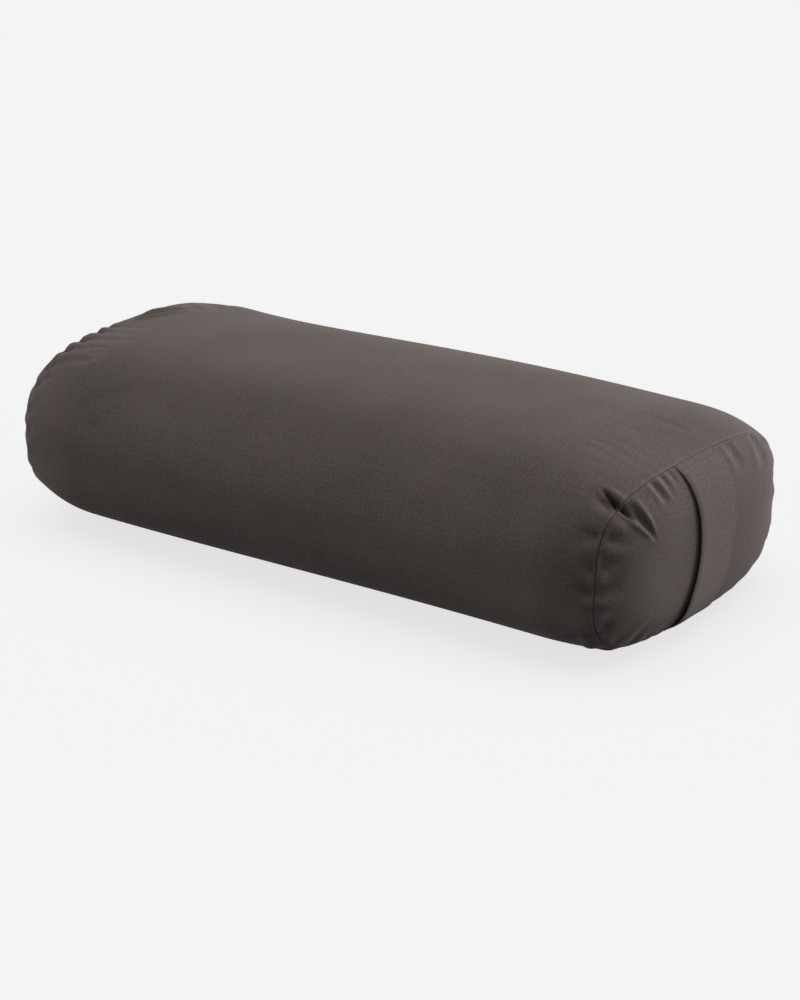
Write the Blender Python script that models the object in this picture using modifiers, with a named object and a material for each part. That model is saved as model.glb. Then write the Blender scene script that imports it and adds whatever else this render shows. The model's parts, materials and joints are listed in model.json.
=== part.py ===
"""Yoga bolster: a husk-filled inner cushion in a canvas cover with a zip and a carry strap.

Metres. +X runs along the bolster towards the end that has the strap, +Y towards the side that
has the zip, and +Z up. The origin is on the floor, under the middle of the body.

The cover, the inner bag and the filling are nested layers of one stuffed form. Each point of
that form has a place along it (-1 to 1 from seam to seam, and on to -2 and 2 at the poles of
the domed ends), a turn around it, and a depth below the outside of the cover.
"""

import math

import bmesh
import bpy
from mathutils import Matrix, Vector

# The stuffed form
SEAM_TO_SEAM = 0.570
BODY_WIDTH = 0.300
BODY_HEIGHT = 0.150
WIDEST_HEIGHT = 0.069
TOP_SQUARENESS = 3.5
UNDER_SQUARENESS = 2.8
END_RUN = 0.060
SIDE_DRAW_IN = 0.0155
FRONT_TOP_DROP = 0.0070
FRONT_UNDER_LIFT = 0.0055
REAR_TOP_DROP = 0.0025
REAR_UNDER_LIFT = 0.0165
FLOOR_FLATTENING = 0.0005
FRONT_CROWN = 0.018
REAR_CROWN = 0.024
CROWN_FLATNESS = 4.4

# Layers of cloth, from the outside in
CANVAS = 0.0009
LINER_CLOTH = 0.0006
LAYER_GAP = 0.0004
SEAM_ALLOWANCE = 0.010
SEAM_ROLL = 0.0012
SEAM_SETBACK = 0.0025
THREAD = 0.0005
TOUCHING = 0.0003

# The carry strap across the front end, which leans a little
STRAP_WIDTH = 0.055
STRAP_THICKNESS = 0.0016
STRAP_CENTRE = 0.002
STRAP_LEAN = 0.016
STRAP_STANDOFF = 0.0065
STRAP_FULLEST_BELOW_MIDDLE = 0.017
STRAP_SHORT_OF_SEAM = 0.0019
STRAP_STITCH_INSET = 0.003

# The zip in the rear side
ZIP_ABOVE_WIDEST = 0.006
ZIP_SHORT_OF_ENDS = 0.025
ZIP_SLOT_HEIGHT = 0.0116
ZIP_SLOT_PAST_CHAIN = 0.012
TAPE_WIDTH = 0.014
TAPE_THICKNESS = 0.0006
TAPE_EDGE = 0.0012
TAPE_PAST_SLOT = 0.008
COIL_WIDTH = 0.0027
COIL_HEIGHT = 0.0022
ZIP_STITCH_MARGIN = 0.0025
ZIP_HOLLOW_FLAT = 0.026
ZIP_HOLLOW_REACH = 0.050

# The slider and its pull
SLIDER_LENGTH = 0.012
SLIDER_PLATE = 0.0011
SLIDER_CHEEK = 0.0010
SLIDER_TAIL_SHARE = 0.8
WEDGE_LENGTH = 0.004
WEDGE_WIDTH = 0.0016
WEDGE_FROM_NOSE = 0.0006
BRIDGE_LENGTH = 0.0072
BRIDGE_WIDTH = 0.0020
BRIDGE_THICKNESS = 0.0009
PULL_LENGTH = 0.028
PULL_WIDTH = 0.0070
PULL_THICKNESS = 0.0011
PULL_WINDOW_LENGTH = 0.0046
PULL_WINDOW_CLEARANCE = 0.0006
STOP_LENGTH = 0.0016
STOP_GRIP = 0.0034

# Mesh resolution
AROUND = 40
END_STEPS = 4
DOME_RINGS = (2.0, 1.72, 1.46, 1.26, 1.12, 1.04)
STRAP_STEPS = (0.14, 0.28, 0.41, 0.54, 0.64, 0.74, 0.81, 0.88, 0.96, 1.0)

FRONT, REAR = 1, -1
HALF_BODY = SEAM_TO_SEAM / 2
STRAIGHT_SHARE = 1 - END_RUN / HALF_BODY

CANVAS_COLOUR = (0.094, 0.080, 0.075, 1)
STRAP_COLOUR = (0.105, 0.089, 0.084, 1)
LINER_COLOUR = (0.62, 0.57, 0.47, 1)
HUSK_COLOUR = (0.36, 0.24, 0.12, 1)
TAPE_COLOUR = (0.055, 0.048, 0.045, 1)
NYLON_COLOUR = (0.045, 0.040, 0.038, 1)
METAL_COLOUR = (0.20, 0.19, 0.18, 1)
THREAD_COLOUR = (0.070, 0.060, 0.056, 1)


def signed_power(value, exponent):
    return math.copysign(abs(value) ** exponent, value)


def end_sizes(side):
    """How far the top drops and the underside lifts at a seam, and how far its panel domes out."""
    if side == FRONT:
        return FRONT_TOP_DROP, FRONT_UNDER_LIFT, FRONT_CROWN
    return REAR_TOP_DROP, REAR_UNDER_LIFT, REAR_CROWN


def body_point(along, turn, depth):
    """A point of the form between its seams; the section is squarish and is drawn in at both ends."""
    side = FRONT if along > 0 else REAR
    top_drop, under_lift, _ = end_sizes(side)
    half_length = HALF_BODY - depth
    from_seam = (1 - abs(along)) * half_length
    drawn = max(0.0, 1 - from_seam / END_RUN) ** 2
    half_width = BODY_WIDTH / 2 - depth - drawn * SIDE_DRAW_IN
    top = BODY_HEIGHT - depth - drawn * top_drop
    low = depth - FLOOR_FLATTENING + drawn * under_lift
    rising = math.sin(turn) >= 0
    squareness = TOP_SQUARENESS if rising else UNDER_SQUARENESS
    reach = top - WIDEST_HEIGHT if rising else WIDEST_HEIGHT - low
    y = half_width * signed_power(math.cos(turn), 2 / squareness)
    z = WIDEST_HEIGHT + reach * signed_power(math.sin(turn), 2 / squareness)
    return Vector((along * half_length, y, max(z, depth)))


def form_point(along, turn, depth):
    """A point of the whole form, domed ends included."""
    if abs(along) <= 1:
        return body_point(along, turn, depth)
    side = FRONT if along > 0 else REAR
    rim = body_point(side, turn, depth)
    centre = end_centre(side, depth)
    share = 2 - abs(along)
    point = centre + (rim - centre) * share
    point.x += side * end_sizes(side)[2] * (1 - share**CROWN_FLATNESS)
    return point


def under_face(along, turn, layer, under):
    """The step from one layer's outer face, between its seams, to a point square under it."""
    small = 0.001
    across = body_point(along, turn + small, layer) - body_point(along, turn - small, layer)
    along = min(abs(along), 1 - small) * math.copysign(1, along)
    lengthwise = body_point(along + small, turn, layer) - body_point(along - small, turn, layer)
    return across.cross(lengthwise).normalized() * -under


def end_centre(side, depth):
    """The middle of a seam's outline."""
    high = body_point(side, math.pi / 2, depth).z
    low = body_point(side, -math.pi / 2, depth).z
    return Vector((side * (HALF_BODY - depth), 0, (high + low) / 2))


def quarter_turns(sign):
    """Turns over the upper or lower quarter of the section, closest together where it bends most."""
    fine, wanted = 360, AROUND // 4
    angles = [sign * math.pi / 2 * i / fine for i in range(fine + 1)]
    points = [body_point(0, a, 0) for a in angles]
    steps = [b - a for a, b in zip(points, points[1:])]
    length = sum(step.length for step in steps)
    bends = [0] + [b.angle(a) for a, b in zip(steps, steps[1:])]
    weights = [step.length / length + bend / sum(bends) for step, bend in zip(steps, bends)]
    running, chosen = 0.0, [0.0]
    for angle, weight in zip(angles[1:], weights):
        running += weight
        if running >= len(chosen) * sum(weights) / wanted and len(chosen) < wanted:
            chosen.append(angle)
    return chosen + [sign * math.pi / 2]


def turns_around():
    """Turns right round the section from its rear side, alike on the rear and the front."""
    upper, lower = quarter_turns(1), quarter_turns(-1)
    front_upper = [math.pi - t for t in reversed(upper[:-1])]
    front_lower = [math.pi - t for t in lower[1:]]
    rear_lower = [2 * math.pi + t for t in reversed(lower[1:-1])]
    return upper + front_upper + front_lower + rear_lower


TURNS = turns_around()


def body_stations(first, last):
    """Places along the body: a step over each drawn-in end, and one across the straight middle."""
    front = [STRAIGHT_SHARE + (last - STRAIGHT_SHARE) * i / END_STEPS for i in range(END_STEPS + 1)]
    rear = [-STRAIGHT_SHARE + (first + STRAIGHT_SHARE) * i / END_STEPS for i in range(END_STEPS + 1)]
    return rear[::-1] + front


def zip_height():
    return WIDEST_HEIGHT + ZIP_ABOVE_WIDEST


def rear_side(z, depth):
    """How far out the straight part of the rear side is at a height, on its facets."""
    corners = [body_point(0, t, 0) for t in TURNS[-AROUND // 4:] + TURNS[: AROUND // 4]]
    for low, high in zip(corners, corners[1:]):
        if low.z <= z <= high.z:
            return low.y + (high.y - low.y) * (z - low.z) / (high.z - low.z) - depth
    return corners[0].y - depth


def smooth_fall(distance, full_to, none_at):
    """1 up to full_to, 0 from none_at on, and a smooth fall between."""
    t = min(1.0, max(0.0, (none_at - distance) / (none_at - full_to)))
    return t * t * (3 - 2 * t)


def room_for_zip(point):
    """The inner layers give way behind the zip, where the slider runs inside the cover."""
    if point.y <= 0:
        return 0.0
    up = smooth_fall(abs(point.z - zip_height()), ZIP_HOLLOW_FLAT, ZIP_HOLLOW_REACH)
    along = smooth_fall(abs(point.x), HALF_BODY - END_RUN, HALF_BODY - END_RUN / 2)
    return (slider_inner_face() - CANVAS) * up * along


def tape_outer_face():
    return CANVAS + TOUCHING


def slider_inner_face():
    """Depth of the innermost metal of the slider, below the outside of the cover."""
    return tape_outer_face() + TAPE_THICKNESS + TOUCHING + SLIDER_PLATE


def collection(name):
    made = bpy.data.collections.new(name)
    bpy.context.scene.collection.children.link(made)
    return made


def material(name, colour, roughness, metallic=0.0):
    made = bpy.data.materials.new(name)
    made.use_nodes = True
    shader = made.node_tree.nodes["Principled BSDF"]
    shader.inputs["Base Color"].default_value = colour
    shader.inputs["Roughness"].default_value = roughness
    shader.inputs["Metallic"].default_value = metallic
    made.diffuse_color = colour
    return made


def clear_scene():
    for obj in list(bpy.data.objects):
        bpy.data.objects.remove(obj)


def add(name, data, group, finish, location=(0, 0, 0), rotation=(0, 0, 0)):
    """Links a mesh or curve to the scene as one named sub-part."""
    obj = bpy.data.objects.new(name, data)
    group.objects.link(obj)
    obj.location = location
    obj.rotation_euler = rotation
    data.materials.append(finish)
    return obj


def mesh_from(bm, name, smooth=True):
    mesh = bpy.data.meshes.new(name)
    bm.to_mesh(mesh)
    bm.free()
    if smooth:
        mesh.shade_smooth()
        mesh.set_sharp_from_angle(angle=math.radians(40))
    return mesh


def layer_sheet(name, layer, rings, give=None):
    """An open sheet through rings of one layer of the form.

    A ring is (along, under), from rear to front: its place, and how far it lies under that layer.
    """
    bm = bmesh.new()
    bmesh.ops.create_cone(bm, cap_ends=False, segments=AROUND, radius1=1, radius2=1, depth=1)
    long_edges = [e for e in bm.edges if abs(e.verts[0].co.z - e.verts[1].co.z) > 0.5]
    bmesh.ops.subdivide_edges(bm, edges=long_edges, cuts=len(rings) - 2)
    for vert in bm.verts:
        ring = round((vert.co.z + 0.5) * (len(rings) - 1))
        step = round(math.atan2(vert.co.y, vert.co.x) / (2 * math.pi) * AROUND) % AROUND
        along, under = rings[ring]
        vert.co = form_point(along, TURNS[step], layer)
        if under:
            vert.co += under_face(along, TURNS[step], layer, under)
        if give:
            vert.co.y -= give(vert.co)
    bmesh.ops.remove_doubles(bm, verts=bm.verts, dist=1e-6)
    return mesh_from(bm, name)


def block_mesh(name, low, high, shape=None):
    """A block between two corners, whose corners shape can then move."""
    bm = bmesh.new()
    bmesh.ops.create_cube(bm, size=1)
    for vert in bm.verts:
        share = vert.co + Vector((0.5, 0.5, 0.5))
        vert.co = Vector(a + (b - a) * s for a, b, s in zip(low, high, share))
        if shape:
            shape(vert.co)
    bmesh.ops.recalc_face_normals(bm, faces=bm.faces)
    return mesh_from(bm, name, smooth=False)


def solidify(obj, thickness, inwards=True):
    """Gives an open sheet its thickness."""
    wall = obj.modifiers.new("thickness", "SOLIDIFY")
    wall.thickness = thickness
    wall.offset = -1 if inwards else 1


def join_or_cut(obj, mesh, operation, helpers, location):
    """Joins a mesh to obj or cuts it away. The helper that holds the mesh isn't a sub-part."""
    helper = bpy.data.objects.new(mesh.name, mesh)
    helpers.objects.link(helper)
    helper.location = location
    helper.hide_render = True
    helper.display_type = "WIRE"
    step = obj.modifiers.new(mesh.name, "BOOLEAN")
    step.operation = operation
    step.object = helper
    step.solver = "EXACT"


def cover_wrap(group, helpers, canvas):
    """The body of the cover, open at both ends, with the slot for the zip in its rear side."""
    wrap = add("cover_wrap", tube_sheet("cover_wrap", 0), group, canvas)
    solidify(wrap, CANVAS)
    half_slot = half_chain() + ZIP_SLOT_PAST_CHAIN
    corner = Vector((half_slot, BODY_WIDTH / 2 - rear_side(zip_height(), 2 * CANVAS), ZIP_SLOT_HEIGHT / 2))
    slot = block_mesh("zip_slot", -corner, corner)
    join_or_cut(wrap, slot, "DIFFERENCE", helpers, (0, BODY_WIDTH / 2, zip_height()))


def tube_sheet(name, layer, give=None):
    """A layer's tube between its two end seams, short of each by the seam's setback."""
    setback = SEAM_SETBACK / HALF_BODY
    return layer_sheet(name, layer, [(a, 0) for a in body_stations(-1 + setback, 1 - setback)], give)


def end_panel(name, side, depth, cloth, group, finish):
    """A domed end whose seam allowance turns in under the tube beside it."""
    tucked = cloth + LAYER_GAP
    rings = [(1 - SEAM_ALLOWANCE / HALF_BODY, tucked), (1 - SEAM_ROLL / HALF_BODY, tucked), (1, 0)]
    rings += [(a, 0) for a in reversed(DOME_RINGS)]
    if side == REAR:
        rings = [(-a, under) for a, under in reversed(rings)]
    panel = add(name, layer_sheet(name, depth, rings), group, finish)
    solidify(panel, cloth)


def liner_depth():
    """The inner bag lies inside the cover's turned-in seam allowances."""
    return 2 * (CANVAS + LAYER_GAP)


def filling_depth():
    return liner_depth() + 2 * (LINER_CLOTH + LAYER_GAP)


def inner_cushion(group, cotton, husk, thread):
    """The inner bag, in three panels like the cover, its seams, and what fills it."""
    depth = liner_depth()
    tube = add("liner_wrap", tube_sheet("liner_wrap", depth, room_for_zip), group, cotton)
    solidify(tube, LINER_CLOTH)
    for end, side in (("front", FRONT), ("rear", REAR)):
        end_panel(f"liner_{end}_end", side, depth, LINER_CLOTH, group, cotton)
        seam_thread(f"liner_{end}_seam_thread", side, depth, LINER_CLOTH, group, thread)
    closing = [body_point(a, math.pi, depth - TOUCHING - THREAD / 2) for a in (-STRAIGHT_SHARE, STRAIGHT_SHARE)]
    thread_line("liner_closing_thread", closing, group, thread)
    places = [-a for a in DOME_RINGS] + body_stations(-1, 1) + list(reversed(DOME_RINGS))
    rings = [(a, 0) for a in places]
    filling = layer_sheet("husk_filling", filling_depth(), rings, room_for_zip)
    add("husk_filling", filling, group, husk)


def seam_thread(name, side, layer, cloth, group, thread):
    """The thread that closes an end seam, lying in the groove between tube and end panel."""
    along = side * (1 - (SEAM_SETBACK + SEAM_ROLL) / 2 / HALF_BODY)
    under = cloth + LAYER_GAP - TOUCHING - THREAD / 2
    points = [body_point(along, t, layer) + under_face(along, t, layer, under) for t in TURNS]
    thread_line(name, points, group, thread, cyclic=True)


def thread_line(name, points, group, thread, cyclic=False, location=(0, 0, 0)):
    curve = bpy.data.curves.new(name, "CURVE")
    curve.dimensions = "3D"
    curve.bevel_depth = THREAD / 2
    curve.bevel_resolution = 0
    curve.use_fill_caps = not cyclic
    spline = curve.splines.new("POLY")
    spline.points.add(len(points) - 1)
    for knot, point in zip(spline.points, points):
        knot.co = (*point, 1)
    spline.use_cyclic_u = cyclic
    add(name, curve, group, thread, location)


def strap_curve(rise):
    """The strap's course over the panel, rise -1 at the lower seam to 1 at the upper.

    It follows the domed panel, and stands off it most a little below the middle.
    """
    centre = end_centre(FRONT, 0)
    half_height = body_point(FRONT, math.pi / 2, 0).z - centre.z
    fullest = -STRAP_FULLEST_BELOW_MIDDLE / half_height
    room = 1 + fullest if rise < fullest else 1 - fullest
    bow = max(0.0, 1 - (abs(rise - fullest) / room) ** 2) ** 1.5
    dome = 1 - abs(rise) ** CROWN_FLATNESS
    x = HALF_BODY + FRONT_CROWN * dome + STRAP_STANDOFF * bow
    return Vector((x, STRAP_CENTRE + rise * STRAP_LEAN / 2, centre.z + rise * half_height))


def strap_point(rise, lift):
    """A point lifted square off the strap's inner face."""
    small = 0.002
    along = strap_curve(rise + small) - strap_curve(rise - small)
    outwards = Vector((along.z, 0, -along.x)).normalized()
    return strap_curve(rise) + outwards * (TOUCHING + lift)


def strap_rises():
    """Stations along the strap, close together where it turns into the seams."""
    half_height = (body_point(FRONT, math.pi / 2, 0) - end_centre(FRONT, 0)).z
    end = 1 - STRAP_SHORT_OF_SEAM / half_height
    half = [end * step for step in STRAP_STEPS]
    return [-r for r in reversed(half)] + [0.0] + half


def carry_strap(group, finish, thread):
    """The strap and its two rows of edge stitching, on an origin at the seam that it moves from."""
    origin = Vector((HALF_BODY, STRAP_CENTRE, end_centre(FRONT, 0).z))
    rises = strap_rises()
    bm = bmesh.new()
    bmesh.ops.create_grid(bm, x_segments=2, y_segments=len(rises) - 1, size=1)
    for vert in bm.verts:
        station = round((vert.co.y + 1) / 2 * (len(rises) - 1))
        across = Vector((0, vert.co.x * STRAP_WIDTH / 2, 0))
        vert.co = strap_point(rises[station], 0) + across - origin
    strap = add("carry_strap", mesh_from(bm, "carry_strap"), group, finish, origin)
    solidify(strap, STRAP_THICKNESS, inwards=False)
    on_face = STRAP_THICKNESS + TOUCHING + THREAD / 2
    for name, side in (("strap_stitching_zip_side", 1), ("strap_stitching_plain_side", -1)):
        across = Vector((0, side * (STRAP_WIDTH / 2 - STRAP_STITCH_INSET), 0))
        points = [strap_point(r, on_face) + across - origin for r in rises]
        thread_line(name, points, group, thread, location=origin)


def half_chain():
    """Half the length of the zip's closed chain: it keeps to the straight part of the side."""
    return HALF_BODY - END_RUN - ZIP_SHORT_OF_ENDS


def zip_tape(name, side, group, finish):
    """One woven tape, behind the edge of the slot and following the side of the cover."""
    half_length = half_chain() + ZIP_SLOT_PAST_CHAIN + TAPE_PAST_SLOT
    bm = bmesh.new()
    bmesh.ops.create_grid(bm, x_segments=1, y_segments=4, size=1)
    for vert in bm.verts:
        z = zip_height() + side * TAPE_EDGE - (1 - side) / 2 * TAPE_WIDTH + (1 - vert.co.y) / 2 * TAPE_WIDTH
        vert.co = Vector((vert.co.x * half_length, rear_side(z, tape_outer_face()), z))
    tape = add(name, mesh_from(bm, name), group, finish)
    solidify(tape, TAPE_THICKNESS)


def coil_base():
    """How far out the coils' feet are, just clear of the tapes."""
    return rear_side(zip_height(), tape_outer_face() - TOUCHING)


def zip_coil(name, side, group, finish):
    """The outer shape of one row of nylon coil, along the edge of its tape."""
    bm = bmesh.new()
    bmesh.ops.create_cone(
        bm, cap_ends=True, segments=10, radius1=0.5, radius2=0.5, depth=2 * half_chain(),
        matrix=Matrix.Rotation(math.pi / 2, 4, "Y"),
    )
    for vert in bm.verts:
        vert.co.y *= COIL_HEIGHT
        vert.co.z *= COIL_WIDTH
    z = zip_height() + side * (COIL_WIDTH + TOUCHING) / 2
    add(name, mesh_from(bm, name), group, finish, (0, coil_base() + COIL_HEIGHT / 2, z))


def slider_place():
    """Where the slider rests with the zip closed: its wedge is just past the last turn of coil."""
    past_chain = TOUCHING + WEDGE_LENGTH / 2 - wedge_centre()
    return Vector((half_chain() + past_chain, coil_base(), zip_height()))


def wedge_centre():
    """The wedge's middle, ahead of the slider's own middle."""
    return SLIDER_LENGTH / 2 - WEDGE_LENGTH / 2 - WEDGE_FROM_NOSE


def slider_levels():
    """Heights in the slider's own frame, measured out from the coils' feet."""
    lower_face = -(TOUCHING + TAPE_THICKNESS + TOUCHING)
    upper_face = COIL_HEIGHT + TOUCHING
    return lower_face, upper_face


def slider_half_width():
    """The cheeks pass outside the coils at the tail, where the slider is narrowest."""
    return (COIL_WIDTH + TOUCHING / 2 + TOUCHING + SLIDER_CHEEK) / SLIDER_TAIL_SHARE


def pull_corner():
    """From the middle of the pull's square bar to its corner."""
    return math.hypot(PULL_THICKNESS, PULL_THICKNESS) / 2


def pull_height():
    """How far out the pull's bar turns, clear of the upper wing."""
    return slider_levels()[1] + SLIDER_PLATE + pull_corner() + TOUCHING


def narrow_tail(point):
    """Draws the slider's corners in at its tail."""
    if point.x < 0:
        point.z -= math.copysign(slider_half_width() * (1 - SLIDER_TAIL_SHARE), point.z)


def zip_slider(group, helpers, finish):
    """Two wings joined by the wedge between the coils, cheeks beside them, and a bridge for the pull."""
    lower_face, upper_face = slider_levels()
    half_length, half_width = SLIDER_LENGTH / 2, slider_half_width()
    wedge_back, wedge_front = wedge_centre() - WEDGE_LENGTH / 2, wedge_centre() + WEDGE_LENGTH / 2
    sunk = SLIDER_PLATE / 2
    foot = upper_face + sunk
    bridge_low = pull_height() + pull_corner() + TOUCHING
    bridge_half, bridge_wide = BRIDGE_LENGTH / 2, BRIDGE_WIDTH / 2
    leg_top = bridge_low + BRIDGE_THICKNESS / 2
    pieces = (
        ("lower_wing", (-half_length, lower_face - SLIDER_PLATE, -half_width),
         (half_length, lower_face, half_width), narrow_tail),
        ("upper_cheek", (-half_length, TOUCHING, half_width - SLIDER_CHEEK),
         (half_length, foot, half_width), narrow_tail),
        ("lower_cheek", (-half_length, TOUCHING, -half_width),
         (half_length, foot, SLIDER_CHEEK - half_width), narrow_tail),
        ("wedge", (wedge_back, lower_face - sunk, -WEDGE_WIDTH / 2),
         (wedge_front, foot, WEDGE_WIDTH / 2), None),
        ("bridge_top", (-bridge_half, bridge_low, -bridge_wide),
         (bridge_half, bridge_low + BRIDGE_THICKNESS, bridge_wide), None),
        ("bridge_rear_leg", (-bridge_half, foot, -bridge_wide),
         (BRIDGE_THICKNESS - bridge_half, leg_top, bridge_wide), None),
        ("bridge_front_leg", (bridge_half - BRIDGE_THICKNESS, foot, -bridge_wide),
         (bridge_half, leg_top, bridge_wide), None),
    )
    upper_wing = block_mesh("zip_slider", (-half_length, upper_face, -half_width),
                            (half_length, upper_face + SLIDER_PLATE, half_width), narrow_tail)
    slider = add("zip_slider", upper_wing, group, finish, slider_place())
    for name, low, high, shape in pieces:
        join_or_cut(slider, block_mesh(name, low, high, shape), "UNION", helpers, slider_place())


def zip_pull(group, finish):
    """The pull: a flat tab with a window whose end bar turns under the bridge."""
    place = slider_place()
    place.y += pull_height()
    bar = PULL_THICKNESS / 2
    window_half = BRIDGE_WIDTH / 2 + PULL_WINDOW_CLEARANCE
    head = window_half + PULL_THICKNESS
    tail = PULL_WIDTH / 2
    neck = -bar - PULL_WINDOW_LENGTH - PULL_THICKNESS
    outline = [(bar, -head), (bar, head), (neck, head), (neck - tail, tail)]
    round_centre = -PULL_LENGTH + tail
    for i in range(9):
        angle = math.pi / 2 + math.pi * i / 8
        outline.append((round_centre + tail * math.cos(angle), tail * math.sin(angle)))
    outline += [(neck - tail, -tail), (neck, -head)]
    window = [(-bar, -window_half), (-bar - PULL_WINDOW_LENGTH, -window_half),
              (-bar - PULL_WINDOW_LENGTH, window_half), (-bar, window_half)]
    curve = bpy.data.curves.new("zip_pull", "CURVE")
    curve.dimensions = "2D"
    curve.fill_mode = "BOTH"
    curve.extrude = PULL_THICKNESS / 2
    for points in (outline, window):
        spline = curve.splines.new("POLY")
        spline.points.add(len(points) - 1)
        for knot, (x, y) in zip(spline.points, points):
            knot.co = (x, y, 0, 1)
        spline.use_cyclic_u = True
    add("zip_pull", curve, group, finish, place, (math.pi / 2, 0, 0))


def extruded_clip(name, outline, group, finish, x):
    """A clip of one section, given as (out, up) from the middle of the chain, running along the zip."""
    bm = bmesh.new()
    face = bm.faces.new([bm.verts.new((0, y, z)) for y, z in outline])
    made = bmesh.ops.extrude_face_region(bm, geom=[face])
    moved = [v for v in made["geom"] if isinstance(v, bmesh.types.BMVert)]
    bmesh.ops.translate(bm, vec=(STOP_LENGTH, 0, 0), verts=moved)
    bmesh.ops.recalc_face_normals(bm, faces=bm.faces)
    add(name, mesh_from(bm, name, smooth=False), group, finish, (x, coil_base(), zip_height()))


def zip_stops(group, finish):
    """A clip round each tape that stops the slider when closed, and one across both at the zip's foot."""
    behind_tape = slider_levels()[0]
    inner = behind_tape - SLIDER_PLATE / 2
    outer = COIL_HEIGHT
    edge = TAPE_EDGE - TOUCHING
    middle = TOUCHING / 2
    front = slider_place().x + SLIDER_LENGTH / 2 + TOUCHING
    half = [(inner, middle), (outer, middle), (outer, STOP_GRIP), (0, STOP_GRIP), (0, edge),
            (behind_tape, edge), (behind_tape, STOP_GRIP), (inner, STOP_GRIP)]
    for name, side in (("upper", 1), ("lower", -1)):
        extruded_clip(f"zip_top_stop_{name}", [(y, side * z) for y, z in half], group, finish, front)
    foot = -half_chain() - TOUCHING - STOP_LENGTH
    whole = half[2:] + [(y, -z) for y, z in reversed(half[2:])]
    extruded_clip("zip_bottom_stop", whole, group, finish, foot)


def zip_stitch_row(name, side, group, thread):
    """The row of stitches that holds one tape to the cover, along the slot."""
    z = zip_height() + side * (ZIP_SLOT_HEIGHT / 2 + ZIP_STITCH_MARGIN)
    y = rear_side(z, -TOUCHING - THREAD / 2)
    half = half_chain() + ZIP_SLOT_PAST_CHAIN
    thread_line(name, [Vector((-half, y, z)), Vector((half, y, z))], group, thread)


def build():
    clear_scene()
    group = collection("yoga_bolster")
    helpers = collection("cutters_and_joined_shapes")
    canvas = material("canvas", CANVAS_COLOUR, 0.9)
    strap = material("strap_canvas", STRAP_COLOUR, 0.9)
    cotton = material("liner_cotton", LINER_COLOUR, 0.95)
    husk = material("husk", HUSK_COLOUR, 0.9)
    tape = material("zip_tape", TAPE_COLOUR, 0.85)
    nylon = material("zip_nylon", NYLON_COLOUR, 0.45)
    metal = material("zip_metal", METAL_COLOUR, 0.35, 1.0)
    thread = material("thread", THREAD_COLOUR, 0.8)

    cover_wrap(group, helpers, canvas)
    for end, side in (("front", FRONT), ("rear", REAR)):
        end_panel(f"{end}_end_panel", side, 0, CANVAS, group, canvas)
        seam_thread(f"{end}_seam_thread", side, 0, CANVAS, group, thread)
    carry_strap(group, strap, thread)
    for half, side in (("upper", 1), ("lower", -1)):
        zip_tape(f"zip_tape_{half}", side, group, tape)
        zip_coil(f"zip_coil_{half}", side, group, nylon)
        zip_stitch_row(f"zip_stitching_{half}", side, group, thread)
    zip_slider(group, helpers, metal)
    zip_pull(group, metal)
    zip_stops(group, metal)
    inner_cushion(group, cotton, husk, thread)


build()
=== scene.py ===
"""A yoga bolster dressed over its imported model: a stuffed cover with a carry strap and a zip."""

import collections
import json
import math

import bmesh
import bpy
import numpy as np
from bpy.props import FloatProperty, FloatVectorProperty, IntProperty, PointerProperty
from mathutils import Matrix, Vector
from mathutils.bvhtree import BVHTree

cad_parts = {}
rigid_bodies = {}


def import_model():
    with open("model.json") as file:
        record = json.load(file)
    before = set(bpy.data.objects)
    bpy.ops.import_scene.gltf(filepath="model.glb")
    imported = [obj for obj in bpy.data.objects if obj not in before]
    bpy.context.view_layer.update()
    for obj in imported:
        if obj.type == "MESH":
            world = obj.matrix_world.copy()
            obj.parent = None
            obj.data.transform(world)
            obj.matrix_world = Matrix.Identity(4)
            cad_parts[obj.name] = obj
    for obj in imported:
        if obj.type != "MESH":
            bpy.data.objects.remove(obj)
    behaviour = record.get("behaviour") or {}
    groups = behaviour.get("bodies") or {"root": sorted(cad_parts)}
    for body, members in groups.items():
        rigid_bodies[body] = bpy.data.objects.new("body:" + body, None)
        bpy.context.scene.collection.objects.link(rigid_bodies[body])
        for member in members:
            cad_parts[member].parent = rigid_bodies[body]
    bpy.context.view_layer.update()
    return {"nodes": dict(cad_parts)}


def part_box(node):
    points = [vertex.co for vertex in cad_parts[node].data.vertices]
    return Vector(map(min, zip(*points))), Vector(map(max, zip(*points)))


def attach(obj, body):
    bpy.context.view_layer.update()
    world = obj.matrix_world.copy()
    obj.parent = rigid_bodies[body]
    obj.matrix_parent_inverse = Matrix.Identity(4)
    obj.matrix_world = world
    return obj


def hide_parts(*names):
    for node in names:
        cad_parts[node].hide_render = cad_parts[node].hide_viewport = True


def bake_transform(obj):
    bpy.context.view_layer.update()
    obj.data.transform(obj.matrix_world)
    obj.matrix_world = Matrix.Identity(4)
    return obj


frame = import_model()

bl_info = {
    "name": "Yoga bolster",
    "version": (1, 0, 0),
    "blender": (4, 5, 0),
    "location": "3D View > Sidebar > Bolster",
    "description": "Makes a stuffed canvas yoga bolster with a carry strap and a zipped cover",
    "category": "Add Mesh",
}

FRONT, REAR = SIDES = (1, -1)
ENDS = {FRONT: "front", REAR: "rear"}

Seam = collections.namedtuple("Seam", "ring run inward centre angles radii length")
Fold = collections.namedtuple(
    "Fold", "place depth width wrap_reach panel_reach wrap_slant panel_slant flare"
)
Crease = collections.namedtuple("Crease", "into start end depth start_width end_width ridge")
Lamp = collections.namedtuple("Lamp", "name strength width azimuth elevation")

# What later pieces are laid on or sewn to: the seams, their folds, and finished pieces by node
laid = {}

# Where along the body, -1 to 1, the top swells and the lower half has its hip, and how wide each is
REAR_SWELL, FRONT_HIP = (-0.895, 0.065), (0.966, 0.028)
# From a seam to where the top has its full rise
CROWN_RUN = 0.20
# From a seam to the first row of cloth
FIRST_ROW = 0.0012
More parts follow.
